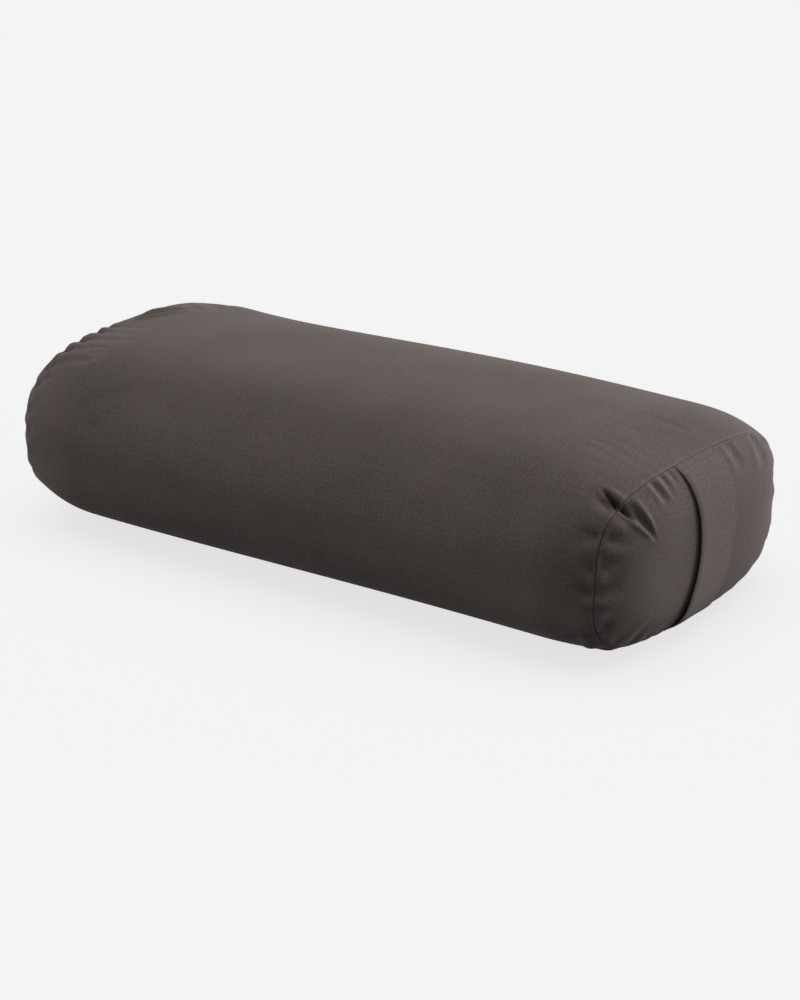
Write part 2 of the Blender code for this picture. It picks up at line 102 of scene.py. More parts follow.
# How far in an allowance is at its first rows, and how far past the seam; LAST_GAP is for the
# last row
ALLOWANCE_ROWS, LAST_GAP = ((0.0004, 0.0004), (0.0011, 0.0002)), 0.0002

# Small gathers are drawn at random from these: how deep, wide, long and slanted they are, and how
# far apart
DEPTHS, WIDTHS, SLANTS, SPACING = (0.0004, 0.0012), (0.0032, 0.0060), (-0.3, 0.3), (0.012, 0.026)
WRAP_REACHES, PANEL_REACHES = (0.012, 0.032), (0.014, 0.034)

# Deeper folds of the front seam: (y, z) of a place on it, how far along from there, and the
# fold's other values in their order
CORNER, HIP = (-0.106, 0.132), (-0.128, 0.036)
FRONT_FOLDS = (
    (CORNER, 0.0, 0.0034, 0.0062, 0.024, 0.016, -0.36, -0.2, -0.15),
    (CORNER, -0.0450, 0.0011, 0.0034, 0.006, 0.012, -0.3, -0.2, 0.5),
    (CORNER, -0.0590, 0.0010, 0.0026, 0.005, 0.010, -0.2, -0.2, 0.5),
    (CORNER, -0.0700, 0.0008, 0.0024, 0.005, 0.010, -0.2, -0.2, 0.5),
    (HIP, 0.0, 0.0026, 0.0060, 0.040, 0.020, 0.25, -0.2, 0.9),
)

# Where the creases of the rear seam show most, (y, z) as seen from the end, and how deep each is
REAR_NOTCHES = (
    (-0.0270, 0.1470, 0.0028), (-0.0441, 0.1465, 0.0044), (-0.0641, 0.1454, 0.0047),
    (-0.0858, 0.1424, 0.0044), (-0.1238, 0.1223, 0.0030), (-0.1335, 0.0863, 0.0026),
    (-0.1283, 0.0494, 0.0026),
)

# The sharpest creases: each runs from one place on the cloth to another, with its depth, its width
# at both ends, and the share of its depth that stands up as a ridge along both sides
PANEL_CREASES = (
    ((0.2862, -0.1002, 0.1318), (0.3007, -0.0772, 0.0962), 0.0027, 0.0052, 0.0010, 0.60),
    ((0.2850, -0.1046, 0.1312), (0.2944, -0.0968, 0.1172), 0.0088, 0.0027, 0.0010, 0.08),
    ((0.2883, -0.0630, 0.1390), (0.2985, -0.0590, 0.1175), 0.0013, 0.0030, 0.0036, 0.60),
    ((0.2890, -0.0498, 0.1392), (0.2975, -0.0484, 0.1235), 0.0007, 0.0023, 0.0027, 0.60),
    ((0.2890, -0.0392, 0.1395), (0.2960, -0.0372, 0.1275), 0.0005, 0.0020, 0.0022, 0.60),
    ((0.2853, -0.1322, 0.0979), (0.2949, -0.1108, 0.0780), 0.0011, 0.0060, 0.0090, 0.50),
    ((0.2853, -0.0950, 0.0155), (0.2978, -0.0694, 0.0293), 0.0012, 0.0050, 0.0060, 0.50),
    ((0.2890, 0.0440, 0.1390), (0.2990, 0.0500, 0.1150), 0.0009, 0.0040, 0.0060, 0.50),
    ((0.2890, 0.0850, 0.1350), (0.3000, 0.0860, 0.1050), 0.0013, 0.0045, 0.0070, 0.50),
    ((0.2870, 0.1270, 0.0950), (0.2980, 0.1070, 0.0820), 0.0010, 0.0050, 0.0080, 0.50),
)
FRONT_CORNER = ((0.2855, -0.1046, 0.1312), (0.2664, -0.0984, 0.1398), 0.0110, 0.0034, 0.0012, 0.14)
REAR_TOP = ((-0.2806, 0.0070, 0.1470), (-0.2569, 0.0597, 0.1481), 0.0029, 0.0042, 0.0055, 0.80)
CREASES = {
    "front_end_panel": [Crease((-1.0, 0.10, -0.10), *row) for row in PANEL_CREASES],
    "cover_wrap": [
        Crease((-0.25, 0.55, -0.80), *FRONT_CORNER), Crease((0.1, 0.0, -1.0), *REAR_TOP),
    ],
}
# Deeper than SHALLOW, a crease shows in the layers inside; deeper than DEEP, its valley gets
# painted shade in the cover's colour
SHALLOW, DEEP = 0.0015, 0.005

CLOTH_SETTINGS = {
    "quality": 6, "mass": 0.25, "tension_stiffness": 30, "compression_stiffness": 30,
    "shear_stiffness": 12, "bending_stiffness": 2.0, "use_pressure": True,
    "vertex_group_mass": "held", "pin_stiffness": 1.0, "vertex_group_shrink": "eased",
    "shrink_min": 0,
}
CLOTH_FRAMES = 20

# Woven finishes: threads per metre, strength of the weave's relief, sheen, unevenness of the
# threads, and whether the weave follows the piece's flat pattern
WEAVES = {
    "washed canvas": (1500.0, 0.35, 0.04, 0.32, True),
    "strap canvas": (1500.0, 0.35, 0.04, 0.32, True),
    "zip tape": (2200.0, 0.6, 0.1, 0.22, True),
    "bag cotton": (1100.0, 0.3, 0.1, 0.22, True),
    "sewing thread": (2600.0, 0.5, 0.1, 0.22, False),
    "cotton thread": (2600.0, 0.4, 0.1, 0.22, False),
}

LAMPS = (
    Lamp("window", 1.48, 0.8, math.radians(66), math.radians(12)),
    Lamp("fill", 0.53, 1.0, math.radians(200), math.radians(12)),
    Lamp("overhead", 0.17, 1.15, 0.0, math.radians(89)),
)


def metres(name, default, description):
    return FloatProperty(
        name=name, description=description, default=default, unit="LENGTH", precision=5
    )


def metre_list(name, default, description):
    return FloatVectorProperty(
        name=name, description=description, default=default, size=len(default), unit="LENGTH"
    )


def share(name, default, description):
    return FloatProperty(name=name, description=description, default=default)


def whole(name, default, description):
    return IntProperty(name=name, description=description, default=default)


def angle(name, default, description):
    return FloatProperty(name=name, description=description, default=default, subtype="ANGLE")


def colour(name, default, description):
    return FloatVectorProperty(
        name=name, description=description, default=default, size=3, subtype="COLOR", min=0, max=1
    )


class BolsterForm(bpy.types.PropertyGroup):
    seam_to_seam: metres("Seam to seam", 0.570, "Length between the two end seams")
    width: metres("Width", 0.300, "Widest across")
    height: metres("Height", 0.1499, "Height at the middle")
    widest_height: metres("Widest at", 0.0686, "Height at which the body is widest")
    top_squareness: share("Top squareness", 3.495, "How square the section's upper half is")
    under_squareness: share("Under squareness", 2.832, "How square its lower half is")
    middle_squareness: share("Middle squareness", 2.85, "The upper half away from the ends")
    rear_roundness: share("Rear roundness", 0.42, "How much less square it is at the rear seam")
    crown_rise: metres("Crown rise", 0.0044, "How much further the top rises from the ends")
    rear_swell: metres("Rear swell", 0.0020, "How much the top swells before the rear seam")
    front_hip: share("Front hip", 0.50, "How much squarer the lower half is by the front seam")
    end_run: metres("End run", 0.060, "How far from a seam the body starts to draw in")
    front_draw_in: metres("Front draw-in", 0.0152, "On the plain side at the front seam")
    front_zip_side_draw_in: metres("Front draw-in, zip side", 0.0208, "The same on the zip side")
    rear_draw_in: metres("Rear draw-in", 0.0126, "How far both sides draw in at the rear seam")
    front_top_drop: metres("Front top drop", 0.0071, "How far the top drops at the front seam")
    front_under_lift: metres("Front under lift", 0.0044, "How far the underside rises there")
    rear_top_drop: metres("Rear top drop", 0.0008, "How far the top drops at the rear seam")
    rear_under_lift: metres("Rear under lift", 0.0144, "How far the underside rises there")
    front_lean: metres("Front lean", 0.0026, "How much further out the front seam's top is")
    front_crown: metres("Front crown", 0.0211, "How far the front end domes out")
    rear_crown: metres("Rear crown", 0.0240, "How far the rear end domes out")
    front_flatness: share("Front flatness", 4.33, "How flat the middle of the front end is")
    rear_flatness: share("Rear flatness", 2.6, "How flat the middle of the rear end is")
    top_swell: metre_list("Top swell", (-0.0007, -0.0029, 0.0026, 0.0035, -0.0023),
                          "How much higher the filling lifts the top, rear to front")
    under_tuck: metre_list("Lower edge tuck", (0.0059, -0.0020, 0.0025, 0.0033, -0.0043),
                           "How far the lower plain edge tucks in, rear to front")


class BolsterCloth(bpy.types.PropertyGroup):
    thickness: metres("Canvas thickness", 0.0009, "Thickness of the cover's cloth")
    allowance: metres("Seam allowance", 0.0040, "How far the cloth turns in past a seam")
    columns: whole("Columns", 184, "Steps round the cover")
    gathers: whole("Gathers", 11, "Which set of small gathers the seams get")
    steps: whole("Steps", 30, "Rows of cloth from a seam to the middle")
    slack: share("Slack", 0.014, "How much longer the cloth is beside a seam than the seam")
    pressure: share("Pressure", 4.0, "How hard the filling pushes outwards")
    travel: metres("Travel", 0.0026, "Furthest that the filling may move the cloth")
    canvas: colour("Canvas", (0.118, 0.097, 0.091), "Colour of the cover")
    strap: colour("Strap", (0.140, 0.1165, 0.110), "Colour of the carry strap")
    thread: colour("Thread", (0.088, 0.074, 0.070), "Colour of the sewing thread")
    cotton: colour("Cotton", (0.62, 0.57, 0.47), "Colour of the inner bag")
    husk: colour("Husk", (0.36, 0.24, 0.12), "Colour of the filling")


class BolsterStrap(bpy.types.PropertyGroup):
    width: metres("Width", 0.055, "Width of the strap")
    thickness: metres("Thickness", 0.0013, "Thickness of the folded strap")
    centre: metre_list(
        "Centre", (-0.0060, -0.0084, -0.0040, 0.0032, 0.0064, 0.0062, 0.0036, 0.0008, -0.0003),
        "How far the strap's middle is from the middle of the end, foot to head",
    )
    near_gap: metres("Gap, plain side", 0.0021, "How far its plain-side edge stands off the end")
    foot_gap: metres("Gap at the foot", 0.0030, "The same where the end curves under")
    far_gap: metres("Gap, zip side", 0.0015, "How far its zip-side edge stands off at the head")
    stitch_inset: metres("Stitch inset", 0.003, "From an edge of the strap to its stitching")
    stitch: metres("Stitch", 0.0027, "Length of one stitch")


class BolsterZip(bpy.types.PropertyGroup):
    half_slot: metres("Half opening", 0.212, "Half the length of the zip's opening")
    slot_low: metres("Opening's lower edge", 0.0692, "Height of the lower edge")
    slot_high: metres("Opening's upper edge", 0.0808, "Height of the upper edge")
    tooth_pitch: metres("Tooth pitch", 0.00127, "From one tooth to the next")
    tape: colour("Tape", (0.055, 0.048, 0.045), "Colour of the zip tape")
    nylon: colour("Teeth", (0.045, 0.040, 0.038), "Colour of the teeth")
    metal: colour("Metal", (0.135, 0.128, 0.120), "Colour of the slider and its pull")


class BolsterStage(bpy.types.PropertyGroup):
    azimuth: angle("Azimuth", 0.63118, "Camera's turn")
    elevation: angle("Elevation", 0.35394, "Camera's height")
    distance: metres("Distance", 2.6175, "From the camera to what it looks at")
    aim: FloatVectorProperty(
        name="Aim", description="What the camera looks at", default=(0.0066, 0, 0.0435),
        subtype="TRANSLATION",
    )
    lens: FloatProperty(name="Lens", description="Focal length", default=113.61, unit="CAMERA")
    floor: colour("Floor", (0.896, 0.896, 0.896), "Colour that the floor shows")
    shadow: share("Shadow", 0.18, "How strongly the floor shows the shadow")
    floor_level: share("Floor level", 0.37, "How much light reaches the open floor")
    bounce: colour("Floor light", (0.30, 0.29, 0.28), "Light that the floor gives back")
    room: share("Room light", 0.22, "Light from all round")


def form():
    return bpy.context.scene.bolster_form


def cloth():
    return bpy.context.scene.bolster_cloth


def opening():
    return bpy.context.scene.bolster_zip


def zip_height():
    return (opening().slot_low + opening().slot_high) / 2


# Sums on lists of values and points

def smooth(value):
    t = np.clip(value, 0, 1)
    return t * t * (3 - 2 * t)


def hump(value, at, width):
    return np.exp(-(((value - at) / width) ** 2))


def unit(vectors):
    return vectors / np.linalg.norm(vectors, axis=-1)[..., None]


def looped(values):
    """The values with the first once more at the end, for a line that closes on itself."""
    return np.concatenate([values, values[:1]])


def run_of(path):
    """How far along a path each of its points is."""
    return np.r_[0, np.cumsum(np.linalg.norm(np.diff(path, axis=0), axis=1))]


def blurred(values, spread):
    """A line of values averaged with their neighbours, by the weights in spread."""
    return np.convolve(np.pad(values, len(spread) // 2, "edge"), spread, "valid")


def along_curve(values, along):
    """A smooth curve through five values spread from the rear seam to the front one."""
    return np.polyval(np.polyfit((-1, -0.55, 0, 0.55, 1), tuple(values), 4), along)


# The form of the body and its seams

def body_points(along, turn):
    """Points of the body: along runs -1 to 1 from seam to seam, turn goes round the section."""
    f = form()
    along, turn = np.broadcast_arrays(along, turn)
    front = along > 0
    across, up = np.cos(turn), np.sin(turn)
    straight = 1 - f.end_run / (f.seam_to_seam / 2)
    drawn = np.clip((np.abs(along) - straight) / (1 - straight), 0, 1) ** 2
    front_in = np.where(across > 0, f.front_zip_side_draw_in, f.front_draw_in)
    half_width = f.width / 2 - drawn * np.where(front, front_in, f.rear_draw_in)
    middle = smooth((1 - np.abs(along)) * f.seam_to_seam / CROWN_RUN)
    drop = drawn * np.where(front, f.front_top_drop, f.rear_top_drop)
    top = f.height + along_curve(f.top_swell, along) - drop
    top = top + f.crown_rise * middle + f.rear_swell * hump(along, *REAR_SWELL)
    rounded = (f.top_squareness - f.middle_squareness) * middle
    rounded = (rounded + np.where(front, 0, f.rear_roundness * drawn)) * smooth(up / 0.3)
    low = np.where(front, drawn**2 * f.front_under_lift, drawn * f.rear_under_lift)
    reach = np.where(up >= 0, top - f.widest_height, f.widest_height - low)
    hip = f.front_hip * hump(along, *FRONT_HIP)
    power = np.where(up >= 0, f.top_squareness - rounded, f.under_squareness + hip)
    sides = (np.abs(across) / half_width) ** power + (np.abs(up) / reach) ** power
    radius = sides ** (-1 / power)
    y, z = radius * across, f.widest_height + radius * up
    lower = np.clip(-y / (f.width / 2), 0, 1) ** 2 * np.clip(1 - z / (0.6 * f.height), 0, 1)
    y = y + along_curve(f.under_tuck, along) * lower
    lean = np.where(front, f.front_lean, 0) * drawn * (z / f.height - 0.5)
    return np.stack([along * f.seam_to_seam / 2 + lean, y, z], -1)


def columns_round(count):
    """Turns round the section, even along the cloth; the last three steps cross the opening."""
    fine_steps = 7200
    fine = np.linspace(0, 2 * math.pi, fine_steps + 1)
    points = body_points(0.0, fine)
    run = run_of(points)
    rising = slice(0, fine_steps // 8)
    low, high = np.interp((opening().slot_low, opening().slot_high), points[rising, 2], run[rising])
    across_opening = low + run[-1] + (high - low) * np.array((1, 2)) / 3
    places = np.r_[np.linspace(high, low + run[-1], count - 2), across_opening]
    return np.interp(places % run[-1], run, fine)


def seam_of(side, turns):
    """The line on which an end panel is sewn to the wrap, and which way its allowance goes in."""
    ring = body_points(float(side), turns)
    run = run_of(looped(ring))
    centre = np.array((ring[:, 0].mean(), 0, (ring[:, 2].max() + ring[:, 2].min()) / 2))
    inward = unit(np.cross(np.roll(ring, -1, 0) - np.roll(ring, 1, 0), (-1.0, 0, 0)))
    inward[:, 0] = -side * 0.35
    y, z = (ring - centre)[:, 1:].T
    angles = np.unwrap(np.arctan2(z, y))
    return Seam(ring, run[:-1], unit(inward), centre, angles, np.hypot(y, z), run[-1])


def on_seam(seam, y, z):
    """The distance along a seam of its nearest point to a place on the end."""
    return seam.run[np.hypot(seam.ring[:, 1] - y, seam.ring[:, 2] - z).argmin()]


def nearest_on_seam(seam, points):
    """For points of its end panel, how far along a seam its nearest place is, and how far off."""
    start = seam.ring[:, 1:]
    step = np.roll(start, -1, 0) - start
    size = (step**2).sum(-1)
    runs, far = np.empty(len(points)), np.empty(len(points))
    for index, point in enumerate(points[:, 1:]):
        part = np.clip(((point - start) * step).sum(-1) / size, 0, 1)
        away = np.linalg.norm(start + step * part[:, None] - point, axis=1)
        nearest = away.argmin()
        runs[index] = seam.run[nearest] + part[nearest] * math.sqrt(size[nearest])
        far[index] = away[nearest]
    return runs, far


def round_seam(seam, points, values):
    """What a seam's values are in the direction of each point from the middle of the end."""
    flat = points - seam.centre
    start = seam.angles[0]
    turn = (np.arctan2(flat[..., 2], flat[..., 1]) - start) % (2 * math.pi) + start
    return np.interp(turn, np.r_[seam.angles, start + 2 * math.pi], looped(values))


def share_out(seam, points):
    """How far out each point of an end is, from 0 at its middle to 1 at its seam."""
    across = np.hypot(points[:, 1] - seam.centre[1], points[:, 2] - seam.centre[2])
    return np.clip(across / round_seam(seam, points, seam.radii), 0, 1)


def folds_of(side, seam):
    """The creases that the gathered cloth makes across a seam."""
    near = side == FRONT
    rng = np.random.default_rng(cloth().gathers + side)
    folds, place = [], rng.uniform(0, 0.02)
    while place < seam.length - SPACING[0]:
        spot = seam.ring[np.searchsorted(seam.run, place) - 1]
        corner = smooth((abs(spot[1]) - 0.085) / 0.04)
        on_top = smooth((spot[2] - 0.120) / 0.015)
        depth = rng.uniform(*DEPTHS) * (1 + 1.3 * corner) * (1 - 0.45 * on_top)
        if near and spot[1] > 0:
            depth *= 0.6
        folds.append(Fold(
            place, depth, width=rng.uniform(*WIDTHS),
            wrap_reach=rng.uniform(*WRAP_REACHES) * (1 if near else 0.7) * (1 - 0.6 * on_top),
            panel_reach=rng.uniform(*PANEL_REACHES),
            wrap_slant=rng.uniform(*SLANTS), panel_slant=rng.uniform(*SLANTS), flare=0.9,
        ))
        place += rng.uniform(*SPACING) * (1 + 0.5 * on_top)
    if near:
        corner, hip = on_seam(seam, *CORNER), on_seam(seam, *HIP)
        folds = [f for f in folds
                 if not -0.085 < f.place - corner < 0.016 and abs(f.place - hip) > 0.014]
        folds += [Fold(on_seam(seam, *spot) + further, *rest)
                  for spot, further, *rest in FRONT_FOLDS]
    else:
        notches = [(on_seam(seam, y, z), depth) for y, z, depth in REAR_NOTCHES]
        folds = [f for f in folds if all(abs(f.place - place) > 0.012 for place, _ in notches)]
        folds += [Fold(place, depth, 0.0042, 0.013, 0.020, 0.0, 0.0, 0.6)
                  for place, depth in notches]
    return folds


def crease_depth(folds, seam, run, distance, on_panel):
    """How far the gathered creases pull the cloth in at a distance from the seam."""
    depth_at_seam, full_depth_from, ridge_height, ridge_off = 0.45, 0.007, 0.45, 2.1
    total = np.zeros(np.broadcast(run, distance).shape)
    for fold in folds:
        reach = fold.panel_reach if on_panel else fold.wrap_reach
        slant = fold.panel_slant if on_panel else fold.wrap_slant
        off = run - fold.place - slant * distance
        off = (off + seam.length / 2) % seam.length - seam.length / 2
        width = fold.width * (0.8 + fold.flare * np.minimum(distance / reach, 1))
        valley = np.exp(-np.abs(off / width) ** 1.6)
        profile = valley - ridge_height * hump(np.abs(off), ridge_off * width, width)
        rise = depth_at_seam + (1 - depth_at_seam) * smooth(distance / full_depth_from)
        total += fold.depth * rise * (1 - smooth(distance / reach)) * profile
    return total


def seam_line(seam, folds, depth):
    """The line of a seam as its creases pull it in, and further in by a depth."""
    fallen = crease_depth(folds, seam, seam.run, np.zeros(len(seam.run)), False)[:, None]
    return seam.ring + seam.inward * (fallen + depth)


def turned_in(seam, folds, towards, inset, rounder):
    """Rows of the allowance past a seam, on the side towards; an inner layer has only the first."""
    rows = ALLOWANCE_ROWS[:1] if inset else (*ALLOWANCE_ROWS, (cloth().allowance, LAST_GAP))
    depth = inset * (1.3 + rounder)
    return np.array([
        seam_line(seam, folds, depth + further) + (towards * gap, 0, 0) for further, gap in rows
    ])


def press_creases(obj, creases):
    """Presses sharp creases into a finished cover piece, each with a soft ridge along both sides.

    Deep in a crease the colour is darkened along its valley as painted shade."""
    cloth_reach, full_from, ridge_off, ridge_width = 0.02, 0.0035, 1.9, 0.75
    points = points_of(obj)
    moved, painted_crease_shade = np.zeros_like(points), np.zeros(len(points))
    for crease in creases:
        start, end, into = (np.array(v) for v in (crease.start, crease.end, crease.into))
        into = unit(into)
        size = np.linalg.norm(end - start)
        way = (end - start) / size
        offset = points - start
        along = offset @ way / size
        off = np.abs(offset @ unit(np.cross(into, way)))
        widening = (crease.end_width - crease.start_width) * np.clip(along, 0, 1)
        width = crease.start_width + widening
        valley = np.exp(-((off / width) ** 2.2))
        ridges = hump(off, ridge_off * width, ridge_width * width)
        fade = smooth((along + 0.15) / 0.15) * (1 - smooth((along - 0.45) / 0.6))
        fade = fade * (np.abs(offset @ into) < cloth_reach)
        moved += (crease.depth * fade * (valley - crease.ridge * ridges))[:, None] * into
        # Painted shade: the deepest creases darken the colour mark along their valleys
        if crease.depth > DEEP:
            painted_crease_shade += 0.8 * valley * fade
    move_points(obj, points + moved * smooth(marked(obj, "free") / full_from)[:, None])
    # The painted crease shade is taken off the colour mark, so the valley renders darker
    if "wear" in obj.data.attributes:
        mark(obj, "wear", marked(obj, "wear") - painted_crease_shade)


def inner_creases():
    """The cover's deeper creases as wide hollows, for the layers inside it."""
    return [
        crease._replace(depth=1.1 * crease.depth, start_width=2.0 * crease.start_width,
                        end_width=2.0 * crease.end_width, ridge=0)
        for group in CREASES.values() for crease in group if crease.depth > SHALLOW
    ]


# Working on meshes

def deselect():
    for obj in bpy.context.view_layer.objects:
        obj.select_set(False)


def pick(obj):
    """Makes obj the only selected object, and the active one."""
    deselect()
    bpy.context.view_layer.objects.active = obj
    obj.select_set(True)


def add(operator, **settings):
    """Makes a primitive, with nothing else selected."""
    deselect()
    operator(**settings)
    return bpy.context.object


def placed(name, data):
    """A new object in the scene."""
    obj = bpy.data.objects.new(name, data)
    bpy.context.scene.collection.objects.link(obj)
    return obj


def apply_modifiers(obj):
    pick(obj)
    for modifier in list(obj.modifiers):
        bpy.ops.object.modifier_apply(modifier=modifier.name)


def settle(obj):
    """Puts the place, turn and size of obj into its mesh."""
    pick(obj)
    bpy.ops.object.transform_apply(location=True, rotation=True, scale=True)


def stretched(obj, *scale):
    """Stretches obj along the scene's axes, after its own turn."""
    settle(obj)
    obj.scale = scale
    settle(obj)
    return obj


def edit(obj, *steps, select="SELECT"):
    """Runs edit-mode steps on obj, with all of it selected or none of it."""
    pick(obj)
    bpy.ops.object.mode_set(mode="EDIT")
    bpy.ops.mesh.select_mode(type="VERT")
    bpy.ops.mesh.select_all(action=select)
    for step in steps:
        step()
    bpy.ops.object.mode_set(mode="OBJECT")


def points_of(obj):
    flat = np.empty(len(obj.data.vertices) * 3)
    obj.data.vertices.foreach_get("co", flat)
    return flat.reshape(-1, 3)


def move_points(obj, points):
    obj.data.vertices.foreach_set("co", np.ascontiguousarray(points, dtype=np.float32).ravel())
    obj.data.update()


def mark(obj, name, values):
    """Keeps a value for each point of a piece.

    The name is free for how far it is from its seam, or wear for how far handling has faded it,
    together with painted shade that darkens its creases and shaded edges."""
    kept = obj.data.attributes.get(name) or obj.data.attributes.new(name, "FLOAT", "POINT")
    kept.data.foreach_set("value", values.astype(np.float32))


def marked(obj, name):
    values = np.empty(len(obj.data.vertices))
    obj.data.attributes[name].data.foreach_get("value", values)
    return values


def mark_wear_and_shade(obj, around):
    """Marks where the cloth bulges, towards 1, paler as handling wears it, and where it creases,
    towards 0, darker as painted shade.
    """
    bm = bmesh.new()
    bm.from_mesh(obj.data)
    values = np.zeros(len(bm.verts))
    for index, vert in enumerate(bm.verts):
        ring = [edge.other_vert(vert).co for edge in vert.link_edges]
        middle = sum(ring, Vector()) / max(1, len(ring))
        values[index] = (vert.co - middle).dot(vert.normal) / around
    bm.free()
    mark(obj, "wear", np.clip(0.5 + values, 0, 1))


def flat_pattern(obj, axes):
    """Lays a piece's flat pattern out in metres on two of its axes."""
    layer = obj.data.uv_layers.active
    layer.name = "cloth"
    corners = np.empty(len(obj.data.loops), dtype=np.int32)
    obj.data.loops.foreach_get("vertex_index", corners)
    layer.data.foreach_set("uv", points_of(obj)[corners][:, axes].astype(np.float32).ravel())


def thicken(obj, thickness, rounding=0):
    """Gives a sheet its thickness, and rounds it by so many subdivisions."""
    wall = obj.modifiers.new("thickness", "SOLIDIFY")
    wall.thickness, wall.offset = thickness, -1
    if rounding:
        finer = obj.modifiers.new("rounding", "SUBSURF")
        finer.levels = finer.render_levels = rounding
    apply_modifiers(obj)


def tree_of(obj):
    """A piece as rays meet it."""
    return BVHTree.FromPolygons([v.co[:] for v in obj.data.vertices],
                                [p.vertices[:] for p in obj.data.polygons])


def hit(tree, origin, direction, fallback):
    """Where a ray first meets a laid piece."""
    place = tree.ray_cast(Vector(origin), Vector(direction))[0]
    return np.array(place) if place is not None else np.array(fallback)


def hit_from_zip_side(tree, x, y, z):
    """The place at x and z on the zip side of a piece, or at y where there is none."""
    return hit(tree, (x, 0.3, z), (0, -1, 0), (x, y, z))


def mesh_piece(name, points, faces):
    mesh = bpy.data.meshes.new(name)
    mesh.from_pydata(points.reshape(-1, 3).tolist(), [], faces)
    return placed(name, mesh)


def join(objects, name):
    """Joins objects into the first and names it."""
    pick(objects[0])
    for obj in objects:
        obj.select_set(True)
    bpy.ops.object.join()
    objects[0].name = objects[0].data.name = name
    return objects[0]


def finish_piece(obj, material, slot, body, *nodes, angle=50):
    """Gives a made piece its finish, hides the model's parts that it stands for, and attaches it to
    the body it moves with.
    """
    pick(obj)
    obj.data.materials.clear()
    obj.data.materials.append(material)
    bpy.ops.object.shade_smooth_by_angle(angle=math.radians(angle))
    if nodes:
        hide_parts(*nodes)
    if body:
        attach(obj, body)


def grid_sheet(name, points, across, up, keep=lambda row, column: True):
    """A sheet of rows of points that closes on itself, its flat pattern as a UV map in metres."""
    rows, columns = points.shape[:2]
    faces, spots = [], []
    for row in range(rows - 1):
        for column in range(columns):
            if keep(row, column):
                corners = [(row + r, column + c) for r, c in ((0, 0), (0, 1), (1, 1), (1, 0))]
                faces.append([r * columns + c % columns for r, c in corners])
                spots += [(up[r], across[c]) for r, c in corners]
    obj = mesh_piece(name, points, faces)
    layer = obj.data.uv_layers.new(name="cloth")
    layer.data.foreach_set("uv", np.array(spots, dtype=np.float32).ravel())
    return obj


def fill_cushion(obj, held, eased):
    """Swells a cover piece with a short cloth simulation, and keeps it near where it was."""
    scene, c = bpy.context.scene, cloth()
    start = points_of(obj)
    for name, weights in (("held", held), ("eased", eased)):
        group = obj.vertex_groups.new(name=name)
        for index, weight in enumerate(weights):
            group.add([index], float(weight), "REPLACE")
    modifier = obj.modifiers.new("filling", "CLOTH")
    settings = modifier.settings
    for name, value in CLOTH_SETTINGS.items():
        setattr(settings, name, value)
    settings.uniform_pressure_force = c.pressure
    settings.shrink_max = -c.slack
    settings.effector_weights.gravity = 0
    for number in range(1, CLOTH_FRAMES + 1):
        scene.frame_set(number)
    apply_modifiers(obj)
    scene.frame_set(1)
    moved = points_of(obj) - start
    far = np.linalg.norm(moved, axis=1)[:, None]
    move_points(obj, start + moved * c.travel / (c.travel + far))
    obj.vertex_groups.clear()


# Finishes

def feed(tree, sockets, values):
    """Links or sets the sockets that values names."""
    for key, value in values.items():
        if isinstance(value, bpy.types.NodeSocket):
            tree.links.new(value, sockets[key])
        else:
            sockets[key].default_value = value


def node(tree, kind, inputs, **settings):
    made = tree.nodes.new(kind)
    for key, value in settings.items():
        setattr(made, key, value)
    feed(tree, made.inputs, inputs)
    return made


def maths(tree, operation, a, b=0.0):
    return node(tree, "ShaderNodeMath", {0: a, 1: b}, operation=operation).outputs[0]


def plus(tree, a, b):
    return maths(tree, "ADD", a, b)


def times(tree, a, b):
    return maths(tree, "MULTIPLY", a, b)


def from_middle(tree, value, size, middle=0.5):
    """How far a value is from its middle, times a size."""
    return times(tree, maths(tree, "SUBTRACT", value, middle), size)


def noise(tree, place, scale, detail=2.0, roughness=0.5):
    inputs = {"Vector": place, "Scale": scale, "Detail": detail, "Roughness": roughness}
    return node(tree, "ShaderNodeTexNoise", inputs).outputs["Fac"]


def tinted(tree, base, value, hue=0.5):
    inputs = {"Color": base, "Value": value, "Hue": hue}
    return node(tree, "ShaderNodeHueSaturation", inputs).outputs["Color"]


def mixed(tree, amount, first, second):
    inputs = {"Fac": amount, "Color1": (*first, 1), "Color2": (*second, 1)}
    return node(tree, "ShaderNodeMixRGB", inputs).outputs["Color"]


def raised(tree, height, strength, distance, invert=False):
    inputs = {"Height": height, "Strength": strength, "Distance": distance}
    return node(tree, "ShaderNodeBump", inputs, invert=invert).outputs["Normal"]


def object_place(tree):
    return node(tree, "ShaderNodeTexCoord", {}).outputs["Object"]


def new_material(name):
    material = bpy.data.materials.new(name)
    material.use_nodes = True
    return material, material.node_tree, material.node_tree.nodes["Principled BSDF"].inputs


